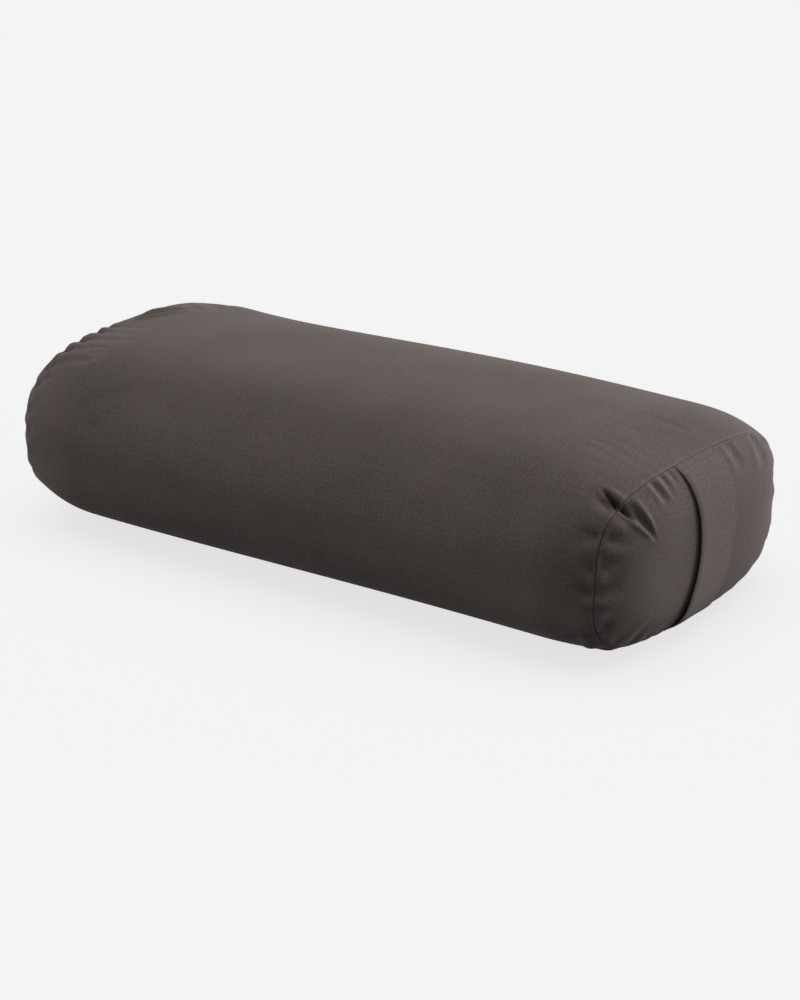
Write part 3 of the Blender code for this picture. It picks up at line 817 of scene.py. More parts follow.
def weave_group():
    """Plain woven cloth: the height of its threads, uneven threads, soft blotches of tone, and the
    wear mark, which pales worn cloth and darkens creases as painted shade.
    """
    name = "woven cloth"
    if name in bpy.data.node_groups:
        return bpy.data.node_groups[name]
    tree = bpy.data.node_groups.new(name, "ShaderNodeTree")
    for label, way, kind in (
        ("Place", "INPUT", "Vector"), ("Threads per metre", "INPUT", "Float"),
        ("Unevenness", "INPUT", "Float"), ("Colour", "INPUT", "Color"), ("Wear", "INPUT", "Float"),
        ("Colour", "OUTPUT", "Color"), ("Height", "OUTPUT", "Float"),
        ("Roughness", "OUTPUT", "Float"),
    ):
        tree.interface.new_socket(name=label, in_out=way, socket_type=f"NodeSocket{kind}")
    given = tree.nodes.new("NodeGroupInput").outputs
    place = given["Place"]
    split = node(tree, "ShaderNodeSeparateXYZ", {"Vector": place}).outputs
    turns = times(tree, given["Threads per metre"], math.pi)
    warp, weft = (maths(tree, "SINE", times(tree, split[axis], turns)) for axis in "XY")
    tops = times(tree, maths(tree, "ABSOLUTE", warp), maths(tree, "ABSOLUTE", weft))
    height = plus(tree, tops, times(tree, times(tree, warp, weft), 0.5))
    slubs = [
        noise(tree, node(
            tree, "ShaderNodeVectorMath", {0: place, 1: stretch}, operation="MULTIPLY"
        ).outputs[0], 1.0, 2.0, 0.6)
        for stretch in ((18.0, 900.0, 1.0), (900.0, 18.0, 1.0))
    ]
    slub = from_middle(tree, plus(tree, *slubs), given["Unevenness"], 1.0)
    grain = from_middle(tree, noise(tree, place, 520.0, 3.0, 0.7), 1.5)
    blotch = from_middle(tree, noise(tree, place, 11.0, 4.0, 0.55), 0.42)
    # The wear mark holds handling wear and painted shade: paler on worn bulges, darker in creases
    # and shaded edges
    worn_and_shaded = from_middle(tree, given["Wear"], 0.9)
    tone = plus(tree, plus(tree, slub, grain), plus(tree, blotch, worn_and_shaded))
    hue = plus(tree, from_middle(tree, noise(tree, place, 34.0), 0.035), 0.5)
    feed(tree, tree.nodes.new("NodeGroupOutput").inputs, {
        "Colour": tinted(tree, given["Colour"], plus(tree, tone, 1.0), hue),
        "Height": plus(tree, height, times(tree, slub, 0.9)),
        "Roughness": plus(tree, times(tree, blotch, -0.35), 0.86),
    })
    return tree


def cloth_material(name, base):
    """Woven cloth on the piece's own flat pattern, or on its place where it has none."""
    if name in bpy.data.materials:
        return bpy.data.materials[name]
    threads, relief, sheen, unevenness, has_pattern = WEAVES[name]
    material, tree, surface = new_material(name)
    inputs = {"Threads per metre": threads, "Unevenness": unevenness, "Colour": (*base, 1)}
    if has_pattern:
        inputs["Place"] = node(tree, "ShaderNodeUVMap", {}, uv_map="cloth").outputs["UV"]
        wear = node(tree, "ShaderNodeAttribute", {}, attribute_name="wear")
        inputs["Wear"] = wear.outputs["Fac"]
    else:
        inputs.update({"Place": object_place(tree), "Wear": 0.5})
    weave = tree.nodes.new("ShaderNodeGroup")
    weave.node_tree = weave_group()
    feed(tree, weave.inputs, inputs)
    feed(tree, surface, {
        "Base Color": weave.outputs["Colour"], "Roughness": weave.outputs["Roughness"],
        "Normal": raised(tree, weave.outputs["Height"], relief, 0.0003),
        "Sheen Weight": sheen, "Sheen Roughness": 0.45, "Sheen Tint": (1.0, 0.92, 0.89, 1),
        "Specular IOR Level": 0.10,
    })
    return material


def sewing_thread():
    return cloth_material("sewing thread", cloth().thread)


def cotton_thread():
    return cloth_material("cotton thread", [0.8 * c for c in cloth().cotton])


def plain_material(name, base, roughness, metallic, grain):
    """Moulded or cast stuff with fine scuffs in its gloss and its colour."""
    material, tree, surface = new_material(name)
    place = object_place(tree)
    fine, wide = noise(tree, place, grain, 4.0, 0.65), noise(tree, place, grain / 9)
    both = plus(tree, times(tree, fine, 0.6), times(tree, wide, 0.4))
    value = plus(tree, times(tree, both, 0.5), 0.75)
    feed(tree, surface, {
        "Base Color": tinted(tree, (*base, 1), value), "Metallic": metallic,
        "Roughness": plus(tree, times(tree, both, 0.3), roughness - 0.15),
        "Normal": raised(tree, both, 0.12, 0.0001),
    })
    return material


def husk_material():
    """Dry hulls: small dark angular grains with paler edges."""
    material, tree, surface = new_material("buckwheat husks")
    place = object_place(tree)
    cells = node(tree, "ShaderNodeTexVoronoi", {"Vector": place, "Scale": 230.0}).outputs
    blotch = noise(tree, place, 90.0, 3.0)
    red = node(tree, "ShaderNodeSeparateColor", {"Color": cells["Color"]}).outputs[0]
    value = plus(tree, plus(tree, times(tree, red, 0.9), blotch), 0.15)
    feed(tree, surface, {
        "Base Color": tinted(tree, (*cloth().husk, 1), value),
        "Roughness": plus(tree, times(tree, blotch, 0.3), 0.5),
        "Normal": raised(tree, cells["Distance"], 0.9, 0.0015, invert=True),
    })
    return material


# The cover and the layers inside it

def outward(along, turn):
    """Which way the cloth faces between the seams."""
    small = 1e-4
    along, turn = np.broadcast_arrays(along, turn)
    inner = np.clip(along, -1 + small, 1 - small)
    across = body_points(inner, turn + small) - body_points(inner, turn - small)
    lengthwise = body_points(inner + small, turn) - body_points(inner - small, turn)
    return unit(np.cross(across, lengthwise))


def stations(count):
    """Distances from a seam to the middle, closest at the seam; one is at the opening's end."""
    half = form().seam_to_seam / 2
    steps = np.linspace(0, 1, count + 1)[1:]
    places = FIRST_ROW + (half - FIRST_ROW) * (0.22 * steps + 0.78 * steps**2.1)
    places = np.r_[FIRST_ROW, places]
    end = half - opening().half_slot
    places[np.abs(places - end).argmin()] = end
    return places


def inner_gap(inset, rounder, from_seam):
    """How far a layer is inside the cover, and by a share rounder further at its seams."""
    fade = 0.020
    return inset * (1 + rounder * np.exp(-from_seam / fade))


def zip_hollow(points):
    """How far the inner layers give way behind the zip, where the slider runs in the cover."""
    depth, half_height, fade, end_fade = 0.0024, 0.050, 0.024, 0.030
    half = form().seam_to_seam / 2
    up = smooth((half_height - np.abs(points[..., 2] - zip_height())) / fade)
    along = smooth((half - end_fade - np.abs(points[..., 0])) / end_fade)
    return np.where(points[..., 1] > 0, depth * up * along, 0)


def lay_wrap(name, columns, steps, inset=0.0, rounder=0.0):
    """The tube of cloth between the seams, creased at both, with its edges turned in.

    An inset makes it a layer inside the cover, which has no opening for the zip."""
    inner_folds_depth, inner_folds_width, seam_pull = 1.15, 1.3, 0.006
    half = form().seam_to_seam / 2
    turns = columns_round(columns)
    seams = {side: seam_of(side, turns) for side in SIDES}
    folds = {side: folds_of(side, seams[side]) for side in SIDES}
    if inset:
        folds = {side: [f._replace(depth=inner_folds_depth * f.depth,
                                   width=inner_folds_width * f.width) for f in found]
                 for side, found in folds.items()}
    near = stations(steps)
    along = np.r_[-(1 - near / half), (1 - near[-2::-1] / half)]
    points = body_points(along[:, None], turns[None])
    facing = outward(along[:, None], turns[None])
    depth = np.zeros(points.shape[:2])
    for side, seam in seams.items():
        distance = np.abs(side - along)[:, None] * half
        depth += crease_depth(folds[side], seam, seam.run[None], distance, False)
        pull = np.exp(-distance[..., None] / seam_pull)
        facing = facing * (1 - pull) - seam.inward[None] * pull
    near_seam = np.minimum(*(np.abs(side - along) for side in SIDES))[:, None] * half
    points -= unit(facing) * (depth + inner_gap(inset, rounder, near_seam))[..., None]
    front, rear = (turned_in(seams[side], folds[side], -side, inset, rounder) for side in SIDES)
    points = np.concatenate([rear[::-1], points, front])
    if inset:
        points[..., 1] -= zip_hollow(points)

    def keep(row, column):
        beside_opening = abs(points[row : row + 2, :, 0].mean()) < opening().half_slot
        return inset > 0 or column < columns - 3 or not beside_opening

    across = run_of(body_points(0.0, looped(turns)))
    obj = grid_sheet(name, points, across, points[..., 0].mean(axis=1), keep)
    mark(obj, "free", np.repeat(np.pad(near_seam[:, 0], len(front)), len(turns)))
    return obj, seams, folds


def dome(seam, side, points, folds, inset=0.0, rounder=0.0):
    """Stands points of an end panel out from its seam, creased, by where they are across it."""
    f, steep_run = form(), 0.016
    crown, flatness = (
        (f.front_crown, f.front_flatness) if side == FRONT else (f.rear_crown, f.rear_flatness)
    )
    inner = share_out(seam, points)
    edge_x = round_seam(seam, points, seam.ring[:, 0]) - seam.centre[0]
    out = points.copy()
    out[:, 0] = seam.centre[0] + edge_x * inner + side * crown * (1 - inner**flatness)
    run, distance = nearest_on_seam(seam, points)
    depth = crease_depth(folds, seam, run, distance, True) + inner_gap(inset, rounder, distance)
    steep = smooth(1 - distance / steep_run)[:, None]
    away = np.stack([round_seam(seam, points, values) for values in seam.inward.T], -1)
    facing = unit(np.array((-side, 0.0, 0.0)) * (1 - steep) + away * steep)
    return out + facing * depth[:, None]


def lay_panel(name, side, seam, folds, inset=0.0, rounder=0.0):
    """An end panel: rings of cloth at its seam, and a grid across the middle of it."""
    columns = len(seam.ring)
    shares = np.r_[0.988, 0.97, 1 - np.linspace(0.055, 0.30, 12 if columns > 120 else 6)]
    rings = np.concatenate([seam.centre + (seam.ring - seam.centre) * s for s in shares])
    rings = dome(seam, side, rings, folds, inset, rounder).reshape(len(shares), columns, 3)
    edge = turned_in(seam, folds, side, inset, rounder)
    points = np.concatenate([edge[::-1], rings])[::side]
    obj = grid_sheet(name, points, np.arange(columns + 1), np.arange(len(points)))
    made = len(obj.data.vertices)

    def select_innermost():
        start = made - columns if side == FRONT else 0
        bm = bmesh.from_edit_mesh(obj.data)
        bm.verts.ensure_lookup_table()
        for vert in bm.verts[start : start + columns]:
            vert.select_set(True)
        bm.select_flush(True)
        bmesh.update_edit_mesh(obj.data)

    edit(obj, select_innermost,
         lambda: bpy.ops.mesh.fill_grid(span=max(8, columns // 5), offset=0), select="DESELECT")
    points = points_of(obj)
    points[made:] = dome(seam, side, points[made:], folds, inset, rounder)
    move_points(obj, points)
    flat_pattern(obj, (1, 2))
    free = nearest_on_seam(seam, points)[1]
    turned = len(edge) * columns
    start = 0 if side == FRONT else made - turned
    free[start : start + turned] = 0
    mark(obj, "free", free)
    return obj


def lay_layer(name, columns, steps, inset=0.0, rounder=0.0):
    """A wrap with its two end panels, and the seams between them with their folds."""
    wrap, seams, folds = lay_wrap(f"{name}_body", columns, steps, inset, rounder)
    ends = [lay_panel(f"{name}_{end}_end", side, seams[side], folds[side], inset, rounder)
            for side, end in ENDS.items()]
    return [wrap, *ends], seams, folds


def hold_weights(points, seams):
    """How firmly the cushion's cloth is held, and how much spare cloth is gathered there."""
    sewn, gathered, loose_hold, floor_hold = 0.0016, 0.030, 0.12, 0.6
    zip_reach, past_zip = 0.011, 0.006
    half = form().seam_to_seam / 2
    if abs(points[:, 0]).max() < half + 0.003:
        from_seams = (np.abs(points[:, 0] - side * half) for side in SIDES)
    else:
        from_seams = ((1 - share_out(seams[side], points)) * 0.1 for side in SIDES)
    from_seam = np.minimum(*from_seams)
    beside_zip = (points[:, 1] > 0.1) & (np.abs(points[:, 2] - zip_height()) < zip_reach)
    at_zip = beside_zip & (np.abs(points[:, 0]) < opening().half_slot + past_zip)
    held = np.where((from_seam < sewn) | at_zip, 1.0, loose_hold)
    held = np.where((points[:, 2] < 0.0008) & (held < 1), floor_hold, held)
    on_top = smooth((points[:, 2] - 0.125) / 0.012)
    return held, (1 - smooth(from_seam / gathered)) * (1 - 0.9 * on_top)


class BOLSTER_OT_cover(bpy.types.Operator):
    """Make the cover's wrap and two end panels, gathered at their seams and swollen from inside"""
    bl_idname = "bolster.cover"
    bl_label = "Cover"

    def execute(self, context):
        c = cloth()
        canvas = cloth_material("washed canvas", c.canvas)
        pieces, seams, folds = lay_layer("cover", c.columns, c.steps)
        laid["seams"], laid["folds"] = seams, folds
        for obj, node_name in zip(pieces, ("cover_wrap", "front_end_panel", "rear_end_panel")):
            fill_cushion(obj, *hold_weights(points_of(obj), seams))
            edit(obj, lambda: bpy.ops.mesh.delete_loose())
            points = points_of(obj)
            points[:, 2] = np.maximum(points[:, 2], 0)
            move_points(obj, points)
            mark_wear_and_shade(obj, 0.0011)
            thicken(obj, c.thickness, rounding=1)
            press_creases(obj, CREASES.get(node_name, ()))
            laid[node_name] = tree_of(obj)
            finish_piece(obj, canvas, "canvas", "bolster", node_name, angle=80)
        return {"FINISHED"}


# What is sewn to the cover

def copies(base, name, places, along, up):
    """One mesh of many copies of a small piece, its length laid along and its top turned up."""
    turned = np.stack([along, np.cross(up, along), up], 1)
    shape = points_of(base)
    points = np.einsum("vi,nij->nvj", shape, turned) + places[:, None]
    faces = [[i + n * len(shape) for i in face.vertices]
             for n in range(len(places)) for face in base.data.polygons]
    bpy.data.objects.remove(base)
    return mesh_piece(name, points, faces)


def one_stitch(length, width):
    """A stitch: a plump short length of thread."""
    ball = add(bpy.ops.mesh.primitive_uv_sphere_add, segments=8, ring_count=5, radius=0.5,
               rotation=(0, math.pi / 2, 0))
    return stretched(ball, length, width, width)


def stitch_places(path, facing, pitch, closed=False):
    """Where each stitch of a row goes, which way it runs and which way it faces."""
    if closed:
        path, facing = looped(path), looped(facing)
    run = run_of(path)
    count = int(run[-1] / pitch)
    places = (np.arange(count) + 0.5) * run[-1] / count

    def at(where, values):
        return np.stack([np.interp(where, run, axis) for axis in values.T], -1)

    along = unit(at(places + 0.0008, path) - at(places - 0.0008, path))
    up = at(places, facing)
    return at(places, path), along, unit(up - along * (up * along).sum(-1)[:, None])


def stitch_row(name, path, facing, pitch, length, width, closed=False):
    """Stitches set end to end along a path, each lying on the cloth."""
    return copies(one_stitch(length, width), name, *stitch_places(path, facing, pitch, closed))


def tube(name, path, radius):
    """A closed loop of thread along a path."""
    curve = bpy.data.curves.new(name, "CURVE")
    curve.dimensions = "3D"
    curve.bevel_depth, curve.bevel_resolution = radius, 1
    spline = curve.splines.new("POLY")
    spline.points.add(len(path) - 1)
    spline.points.foreach_set("co", np.c_[path, np.ones(len(path))].ravel())
    spline.use_cyclic_u = True
    obj = placed(name, curve)
    pick(obj)
    bpy.ops.object.convert(target="MESH")
    return obj


class BOLSTER_OT_seams(bpy.types.Operator):
    """Sew the end panels to the wrap"""
    bl_idname = "bolster.seams"
    bl_label = "Seams"

    def execute(self, context):
        sunk = 0.0010
        for side, end in ENDS.items():
            seam = laid["seams"][side]
            path = seam_line(seam, laid["folds"][side], sunk)
            obj = stitch_row(f"stitched_{end}_seam_thread", path, -seam.inward, pitch=0.0032,
                             length=0.0029, width=0.00042, closed=True)
            finish_piece(obj, sewing_thread(), "thread", "bolster", f"{end}_seam_thread")
        return {"FINISHED"}


def line_up(sheet, place, u):
    """The line up a sheet at one share of its width."""
    return np.stack([[np.interp(u, place, axis) for axis in row.T] for row in sheet])


def strap_face(rows):
    """The strap's middle surface from the lower seam to the upper one, and which way it faces."""
    s, seam = bpy.context.scene.bolster_strap, laid["seams"][FRONT]
    inside_seam, puff_limit, clearance = 0.996, 0.006, 0.0002
    rise = np.sin(np.linspace(-1, 1, rows) * math.pi / 2)[:, None]
    place = np.linspace(-1, 1, 17)[None]
    spread = np.exp(-0.5 * (np.arange(-9, 10) / 4.0) ** 2)
    spread /= spread.sum()
    middle = np.interp(rise[:, 0], np.linspace(-1, 1, len(s.centre)), tuple(s.centre))
    y = blurred(middle, spread)[:, None] + place * s.width / 2
    centre_z = seam.centre[2]

    def height_of(chosen):
        ring = seam.ring[chosen][np.argsort(seam.ring[chosen][:, 1])]
        return np.interp(y, ring[:, 1], ring[:, 2])

    high = seam.ring[:, 2] > centre_z
    reach = np.where(rise > 0, height_of(high) - centre_z, centre_z - height_of(~high))
    z = centre_z + rise * reach * inside_seam
    flat = np.stack([np.zeros_like(y), y, z], -1).reshape(-1, 3)
    plain = dome(seam, FRONT, flat, [])
    panel = laid["front_end_panel"]
    found = [hit(panel, (0.5, p[1], p[2]), (-1, 0, 0), p)[0] for p in plain]
    found, plain = np.array(found).reshape(y.shape), plain.reshape(*y.shape, 3)
    puffed = found - plain[..., 0]
    puffed[np.abs(puffed) > puff_limit] = 0
    for axis in (0, 1):
        puffed = np.apply_along_axis(blurred, axis, puffed, spread)
    plain[..., 0] = np.maximum(plain[..., 0] + puffed * (1 - np.abs(rise) ** 8),
                               found * (np.abs(rise) < 0.97))
    stand_off = np.interp(
        rise, (-1, -0.94, -0.86, -0.72, -0.45, 0.0, 0.5, 0.9, 1),
        (-0.0004, -0.0002, 0.3 * s.foot_gap, s.foot_gap, 0.4 * s.foot_gap + 0.6 * s.near_gap,
         s.near_gap, 0.8 * s.near_gap, 0.35 * s.near_gap, 0),
    )
    stand_off = blurred(stand_off[:, 0], np.ones(7) / 7)[:, None]
    far = np.interp(rise, (-0.9, 0.2, 0.6, 0.85, 0.97, 1),
                    (0, 0.1 * s.far_gap, 0.5 * s.far_gap, s.far_gap, s.far_gap, 0))
    gap = far + (stand_off - far) * ((1 - place) / 2) ** 1.3 + clearance
    facing = unit(np.cross(np.gradient(plain, axis=1), np.gradient(plain, axis=0)))
    return plain + facing * gap[..., None], facing, rise[:, 0], place[0]


def end_thinning(rise):
    """How much thinner the strap is pressed where a seam takes in its end."""
    return np.clip((1 - np.abs(rise)) / 0.12, 0.25, 1)[:, None]


def edge_share(u):
    """From 0 to 1 over the outermost part of half the strap's width."""
    return smooth((u - 0.93) / 0.07)


def strap_half(name, face, facing, rise, place, stitch_line):
    """Half of the strap, closed, with soft rounded edges and a groove where it is stitched."""
    s = bpy.context.scene.bolster_strap
    groove, groove_width, bulge = 0.00010, 0.022, 0.010
    shares = np.sort(np.r_[
        np.linspace(-1, 1, 11) * (stitch_line - 0.05), -1.0, -0.985, 0.985, 1.0,
        [k * stitch_line + d for k in (-1, 1) for d in (-groove_width, 0.0, groove_width)],
    ])
    loop = [(u, 1.0) for u in shares[1:-1]] + [(1.0, 0.78), (1.0 + bulge, 0.5), (1.0, 0.22)]
    loop += [(u, 0.0) for u in shares[::-1][1:-1]]
    loop += [(-1.0, 0.22), (-1.0 - bulge, 0.5), (-1.0, 0.78)]
    points = []
    for u, share_up in loop:
        at, way = line_up(face, place, u), line_up(facing, place, u)
        at[:, 1] += (u - np.clip(u, -1, 1)) * s.width / 2
        dip = groove if share_up == 1.0 and abs(abs(u) - stitch_line) < 1e-6 else 0.0
        thick = s.thickness * (1 - 0.5 * edge_share(abs(u))) * share_up - dip
        points.append(at + unit(way) * (thick * end_thinning(rise)))
    points = np.stack(points, 1)
    across = run_of(looped(np.array(loop)) * (s.width / 2, s.thickness))
    clear_of_edges = 6
    obj = grid_sheet(name, points, across, run_of(points[:, clear_of_edges]))
    # The plain-side edge is paler with wear; the zip-side edge is darkened as painted shade
    worn_and_shaded = np.array([0.14 * edge_share(-u) - 0.42 * edge_share(u) for u, _ in loop])
    mark(obj, "wear", np.tile(0.5 + worn_and_shaded, len(points)))
    bm = bmesh.new()
    bm.from_mesh(obj.data)
    bm.verts.ensure_lookup_table()
    verts = list(bm.verts)
    bm.faces.new(verts[: len(loop)][::-1])
    bm.faces.new(verts[-len(loop) :])
    bmesh.ops.recalc_face_normals(bm, faces=bm.faces)
    bm.to_mesh(obj.data)
    bm.free()
    return obj


class BOLSTER_OT_strap(bpy.types.Operator):
    """Lay the carry strap up the front end, sewn into the seam at its foot and its head"""
    bl_idname = "bolster.strap"
    bl_label = "Carry strap"

    def execute(self, context):
        s = context.scene.bolster_strap
        face, facing, rise, place = strap_face(89)
        middle, centre = len(rise) // 2, len(place) // 2
        stitch_line = 1 - 2 * s.stitch_inset / s.width
        canvas = cloth_material("strap canvas", cloth().strap)
        for half, rows in (("lower", slice(0, middle + 1)), ("upper", slice(middle, None))):
            obj = strap_half(f"carry_strap_{half}", face[rows], facing[rows], rise[rows], place,
                             stitch_line)
            finish_piece(obj, canvas, "strap_canvas", None, "carry_strap")
            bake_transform(obj)
        unsewn, pitch, width, sunk = 3, 0.0031, 0.00044, 0.00012
        sewn = slice(unsewn, -unsewn)
        for u, row in ((stitch_line, "zip_side"), (-stitch_line, "plain_side")):
            path, way = line_up(face[sewn], place, u), line_up(facing[sewn], place, u)
            top = s.thickness * end_thinning(rise[sewn]) - sunk
            spots, along, up = stitch_places(path + unit(way) * top, way, pitch)
            from_middle_row = np.linalg.norm(spots - path[middle - unsewn], axis=1)
            split = int(from_middle_row.argmin())
            for half, part in (("lower", slice(0, split)), ("upper", slice(split, None))):
                obj = copies(one_stitch(s.stitch, width), f"strap_stitching_{row}_{half}",
                             spots[part], along[part], up[part])
                finish_piece(obj, sewing_thread(), "thread", None, f"strap_stitching_{row}")
                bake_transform(obj)
        return {"FINISHED"}


# The zip

def lay_tape(half, side, material):
    """A woven tape, which meets the other one beyond the ends of the teeth."""
    rib_height, rib_pitch, meeting_gap, fold = 0.00006, 0.0011, 0.00008, 0.003
    node_name = f"zip_tape_{half}"
    low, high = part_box(node_name)
    tree = tree_of(frame["nodes"][node_name])
    obj = add(bpy.ops.mesh.primitive_grid_add, x_subdivisions=300, y_subdivisions=12, size=1)
    obj.name = f"woven_tape_{half}"
    points = points_of(obj)
    x = low[0] + (points[:, 0] + 0.5) * (high[0] - low[0])
    z = low[2] + (points[:, 1] + 0.5) * (high[2] - low[2])
    y = np.array([hit_from_zip_side(tree, 0, high[1], height)[1]
                  for height in np.clip(z, low[2] + 0.0001, high[2] - 0.0001)])
    rib = rib_height * np.sin((z - zip_height()) / rib_pitch * math.pi)
    edge, closed_edge = (low if side > 0 else high)[2], zip_height() + side * meeting_gap
    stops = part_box("zip_bottom_stop")[0][0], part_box("zip_top_stop_upper")[1][0]
    beyond = np.maximum(stops[0] - x, x - stops[1]) > 0.0003
    z = z + (closed_edge - edge) * beyond * smooth(1 - np.abs(z - edge) / fold)
    move_points(obj, np.stack([x, y + rib - rib_height, z], -1))
    edit(obj, lambda: bpy.ops.mesh.flip_normals())
    flat_pattern(obj, (0, 2))
    thicken(obj, 0.00046)
    mark_wear_and_shade(obj, 0.003)
    finish_piece(obj, material, "zip_tape", "bolster", node_name, angle=40)


def lay_teeth(half, side, material):
    """A row of nylon teeth, half a pitch from the other row's."""
    pitch, nearer = opening().tooth_pitch, 0.00018
    low, high = (np.array(corner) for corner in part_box(f"zip_coil_{half}"))
    ring = add(bpy.ops.mesh.primitive_torus_add, major_segments=12, minor_segments=5,
               major_radius=0.00080, minor_radius=0.00029,
               rotation=(0, math.pi / 2, math.radians(9)))
    tooth = stretched(ring, 1, 1.0, 1.38)
    count = int((high[0] - low[0]) / pitch) - 1
    places = np.tile((low + high) / 2 - (0, 0, side * nearer), (count, 1))
    places[:, 0] = low[0] + pitch * (0.5 if side > 0 else 1.0) + np.arange(count) * pitch
    along, up = np.tile((1.0, 0, 0), (count, 1)), np.tile((0, 0, 1.0), (count, 1))
    teeth = copies(tooth, f"coil_teeth_{half}", places, along, up)
    finish_piece(teeth, material, "zip_nylon", "bolster", f"zip_coil_{half}", angle=80)


def sew_tape(half):
    """The row of stitches that holds a tape to the cover."""
    proud = 0.00008
    low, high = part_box(f"zip_stitching_{half}")
    z = (low[2] + high[2]) / 2
    path = np.array([hit_from_zip_side(laid["cover_wrap"], x, high[1], z)
                     for x in np.linspace(-opening().half_slot, opening().half_slot, 260)])
    path[:, 1] += proud
    facing = np.tile((0, 1.0, 0), (len(path), 1))
    row = stitch_row(f"zip_stitches_{half}", path, facing, pitch=0.0033, length=0.0029,
                     width=0.00046)
    finish_piece(row, sewing_thread(), "thread", "bolster", f"zip_stitching_{half}")


def softened(node_name, piece_name, width):
    """A copy of a metal piece with its edges rounded as casting and plating leave them."""
    obj = placed(piece_name, frame["nodes"][node_name].data.copy())
    obj.data.name = piece_name
    edit(obj, lambda: bpy.ops.mesh.remove_doubles(threshold=1e-5),
         lambda: bpy.ops.mesh.dissolve_limited(angle_limit=math.radians(1)),
         lambda: bpy.ops.mesh.normals_make_consistent(inside=False))
    bevel = obj.modifiers.new("rounded edges", "BEVEL")
    bevel.width, bevel.segments, bevel.use_clamp_overlap = width, 2, True
    bevel.limit_method, bevel.angle_limit = "ANGLE", math.radians(30)
    apply_modifiers(obj)
    return obj


class BOLSTER_OT_zip(bpy.types.Operator):
    """Make the zip: its tapes, teeth, stitching, stops, slider and pull"""
    bl_idname = "bolster.zip"
    bl_label = "Zip"

    def execute(self, context):
        z = opening()
        tape = cloth_material("zip tape", z.tape)
        nylon = plain_material("zip teeth", z.nylon, roughness=0.42, metallic=0.0, grain=2400.0)
        metal = plain_material("gunmetal", z.metal, roughness=0.34, metallic=1.0, grain=900.0)
        for half, side in (("upper", 1), ("lower", -1)):
            lay_tape(half, side, tape)
            lay_teeth(half, side, nylon)
            sew_tape(half)
        for node_name, piece_name, body in (
            ("zip_top_stop_upper", "top_stop_upper", "bolster"),
            ("zip_top_stop_lower", "top_stop_lower", "bolster"),
            ("zip_bottom_stop", "bottom_stop", "bolster"),
            ("zip_slider", "slider_body", "slider"),
            ("zip_pull", "pull_tab", "pull"),
        ):
            obj = softened(node_name, piece_name, 0.00018)
            finish_piece(obj, metal, "zip_metal", body, node_name, angle=35)
        return {"FINISHED"}


# The bag of filling inside the cover

class BOLSTER_OT_inner_bag(bpy.types.Operator):
    """Make the cotton bag inside the cover, with its seams"""
    bl_idname = "bolster.inner_bag"
    bl_label = "Inner bag"

    def execute(self, context):
        inset, rounder = 0.0034, 0.9
        cotton = cloth_material("bag cotton", cloth().cotton)
        wrap, seams, folds = lay_wrap("inner_bag_body", 184, 22, inset, rounder)
        pieces = {"liner_wrap": wrap}
        for side, end in ENDS.items():
            pieces[f"liner_{end}_end"] = lay_panel(
                f"inner_bag_{end}_end", side, seams[side], folds[side], inset, rounder
            )
            path = seam_line(seams[side], folds[side], inset * 2.2 + 0.0012)
            thread = tube(f"inner_bag_{end}_seam", path, 0.00024)
            finish_piece(thread, cotton_thread(), "thread", "bolster", f"liner_{end}_seam_thread")
        for node_name, obj in pieces.items():
            edit(obj, lambda: bpy.ops.mesh.delete_loose())
            press_creases(obj, inner_creases())
            laid[node_name] = tree_of(obj)
            mark_wear_and_shade(obj, 0.003)
            thicken(obj, 0.0006)
            finish_piece(obj, cotton, "liner_cotton", "bolster", node_name, angle=80)
        low, high = (np.array(corner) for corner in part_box("liner_closing_thread"))
        longest = int(np.argmax(high - low))
        path = np.tile((low + high) / 2, (60, 1))
        path[:, longest] = np.linspace(low[longest], high[longest], len(path))
        found = [laid["liner_wrap"].find_nearest(Vector(p)) for p in path]
        spots, faces = (np.array([f[part] for f in found]) for part in (0, 1))
        closing = stitch_row("inner_bag_closing", spots + faces * 0.0001, faces, pitch=0.005,
                             length=0.0042, width=0.0005)
        finish_piece(closing, cotton_thread(), "thread", "bolster", "liner_closing_thread")
        return {"FINISHED"}


class BOLSTER_OT_filling(bpy.types.Operator):
    """Fill the bag with husks: one heap in the shape of the bag"""
    bl_idname = "bolster.filling"
    bl_label = "Husk filling"

    def execute(self, context):
        pieces, *_ = lay_layer("husk", 96, 16, inset=0.0052, rounder=1.2)
        heap = join(pieces, "husk_heap")
        press_creases(heap, inner_creases())
        edit(heap, lambda: bpy.ops.mesh.delete_loose(),
             lambda: bpy.ops.mesh.remove_doubles(threshold=0.0012))
        remesh = heap.modifiers.new("packed", "REMESH")
        remesh.mode, remesh.voxel_size = "VOXEL", 0.006
        apply_modifiers(heap)
        finish_piece(heap, husk_material(), "husk", "bolster", "husk_filling", angle=180)
        return {"FINISHED"}


# The stage

def seen_itself(tree):
    """1 where a surface is seen, also in gloss or through something, and 0 where it gives light."""
    path = node(tree, "ShaderNodeLightPath", {}).outputs
    seen = maths(tree, "MAXIMUM", path["Is Camera Ray"], path["Is Glossy Ray"])
    return maths(tree, "MAXIMUM", seen, path["Is Transmission Ray"])


def turn_back_to(obj, azimuth, elevation):
    """Turns the back of a lamp or camera to a direction, and gives that direction."""
    level = math.cos(elevation)
    back = Vector((level * math.cos(azimuth), level * math.sin(azimuth), math.sin(elevation)))
    obj.rotation_euler = back.to_track_quat("Z", "Y").to_euler()
    return back


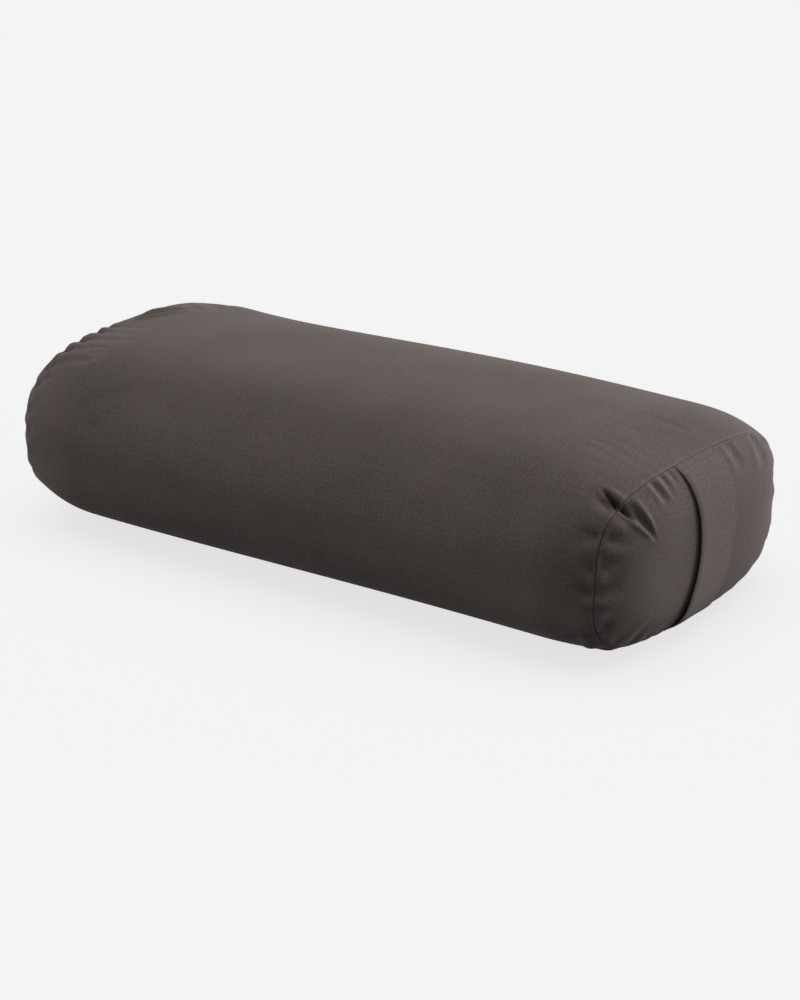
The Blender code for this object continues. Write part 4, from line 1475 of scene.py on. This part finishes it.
class BOLSTER_OT_stage(bpy.types.Operator):
    """Set the pale floor, the soft light and the camera"""
    bl_idname = "bolster.stage"
    bl_label = "Stage"

    def execute(self, context):
        s, scene = context.scene.bolster_stage, context.scene
        floor = add(bpy.ops.mesh.primitive_grid_add, x_subdivisions=8, y_subdivisions=8, size=14,
                    location=(0, 0, -0.0002))
        floor.name = "floor"
        settle(floor)
        material, tree, surface = new_material("pale floor")
        seen = seen_itself(tree)
        lit, glowing = s.shadow / s.floor_level, 1 - s.shadow
        feed(tree, surface, {
            "Base Color": mixed(tree, seen, s.bounce, [c * lit for c in s.floor]),
            "Emission Color": mixed(tree, seen, (0, 0, 0), [c * glowing for c in s.floor]),
            "Emission Strength": 1.0, "Roughness": 0.9, "Specular IOR Level": 0.0,
        })
        floor.data.materials.append(material)

        world = bpy.data.worlds.new("soft room")
        world.use_nodes = True
        tree = world.node_tree
        room = mixed(tree, seen_itself(tree), (s.room,) * 3, s.floor)
        feed(tree, tree.nodes["Background"].inputs, {"Color": room})
        scene.world = world

        # The floor has its own light, so the lamps from beside leave it out
        beside = bpy.data.collections.new("lit from beside")
        beside.objects.link(floor)
        beside.collection_objects[0].light_linking.link_state = "EXCLUDE"
        for lamp in LAMPS:
            sun = bpy.data.lights.new(lamp.name, "SUN")
            sun.energy, sun.angle = lamp.strength * math.pi, lamp.width
            light = placed(lamp.name, sun)
            turn_back_to(light, lamp.azimuth, lamp.elevation)
            if lamp.elevation < 1:
                light.light_linking.receiver_collection = beside

        camera = bpy.data.cameras.new("camera")
        camera.lens, camera.sensor_width, camera.clip_end = s.lens, 36, 50
        eye = placed("camera", camera)
        back = turn_back_to(eye, s.azimuth - math.pi / 2, s.elevation)
        eye.location = Vector(s.aim) + back * s.distance
        scene.camera = eye
        scene.view_settings.view_transform = "Standard"
        return {"FINISHED"}


class BOLSTER_PT_making(bpy.types.Panel):
    bl_label = "Yoga bolster"
    bl_idname = "BOLSTER_PT_making"
    bl_space_type = "VIEW_3D"
    bl_region_type = "UI"
    bl_category = "Bolster"

    def draw(self, context):
        for step in STEPS:
            self.layout.operator(step.bl_idname)
        for group, group_name in GROUPS.items():
            box = self.layout.box()
            for name in group.__annotations__:
                box.prop(getattr(context.scene, group_name), name)


GROUPS = {
    BolsterForm: "bolster_form",
    BolsterCloth: "bolster_cloth",
    BolsterStrap: "bolster_strap",
    BolsterZip: "bolster_zip",
    BolsterStage: "bolster_stage",
}
STEPS = (
    BOLSTER_OT_stage, BOLSTER_OT_cover, BOLSTER_OT_seams, BOLSTER_OT_strap, BOLSTER_OT_zip,
    BOLSTER_OT_inner_bag, BOLSTER_OT_filling,
)


def register():
    for group, name in GROUPS.items():
        bpy.utils.register_class(group)
        setattr(bpy.types.Scene, name, PointerProperty(type=group))
    for step in STEPS:
        bpy.utils.register_class(step)
    bpy.utils.register_class(BOLSTER_PT_making)


def unregister():
    bpy.utils.unregister_class(BOLSTER_PT_making)
    for step in reversed(STEPS):
        bpy.utils.unregister_class(step)
    for group, name in GROUPS.items():
        delattr(bpy.types.Scene, name)
        bpy.utils.unregister_class(group)


def main():
    register()
    for step in STEPS:
        place, name = step.bl_idname.split(".")
        getattr(getattr(bpy.ops, place), name)()


if __name__ == "__main__":
    main()
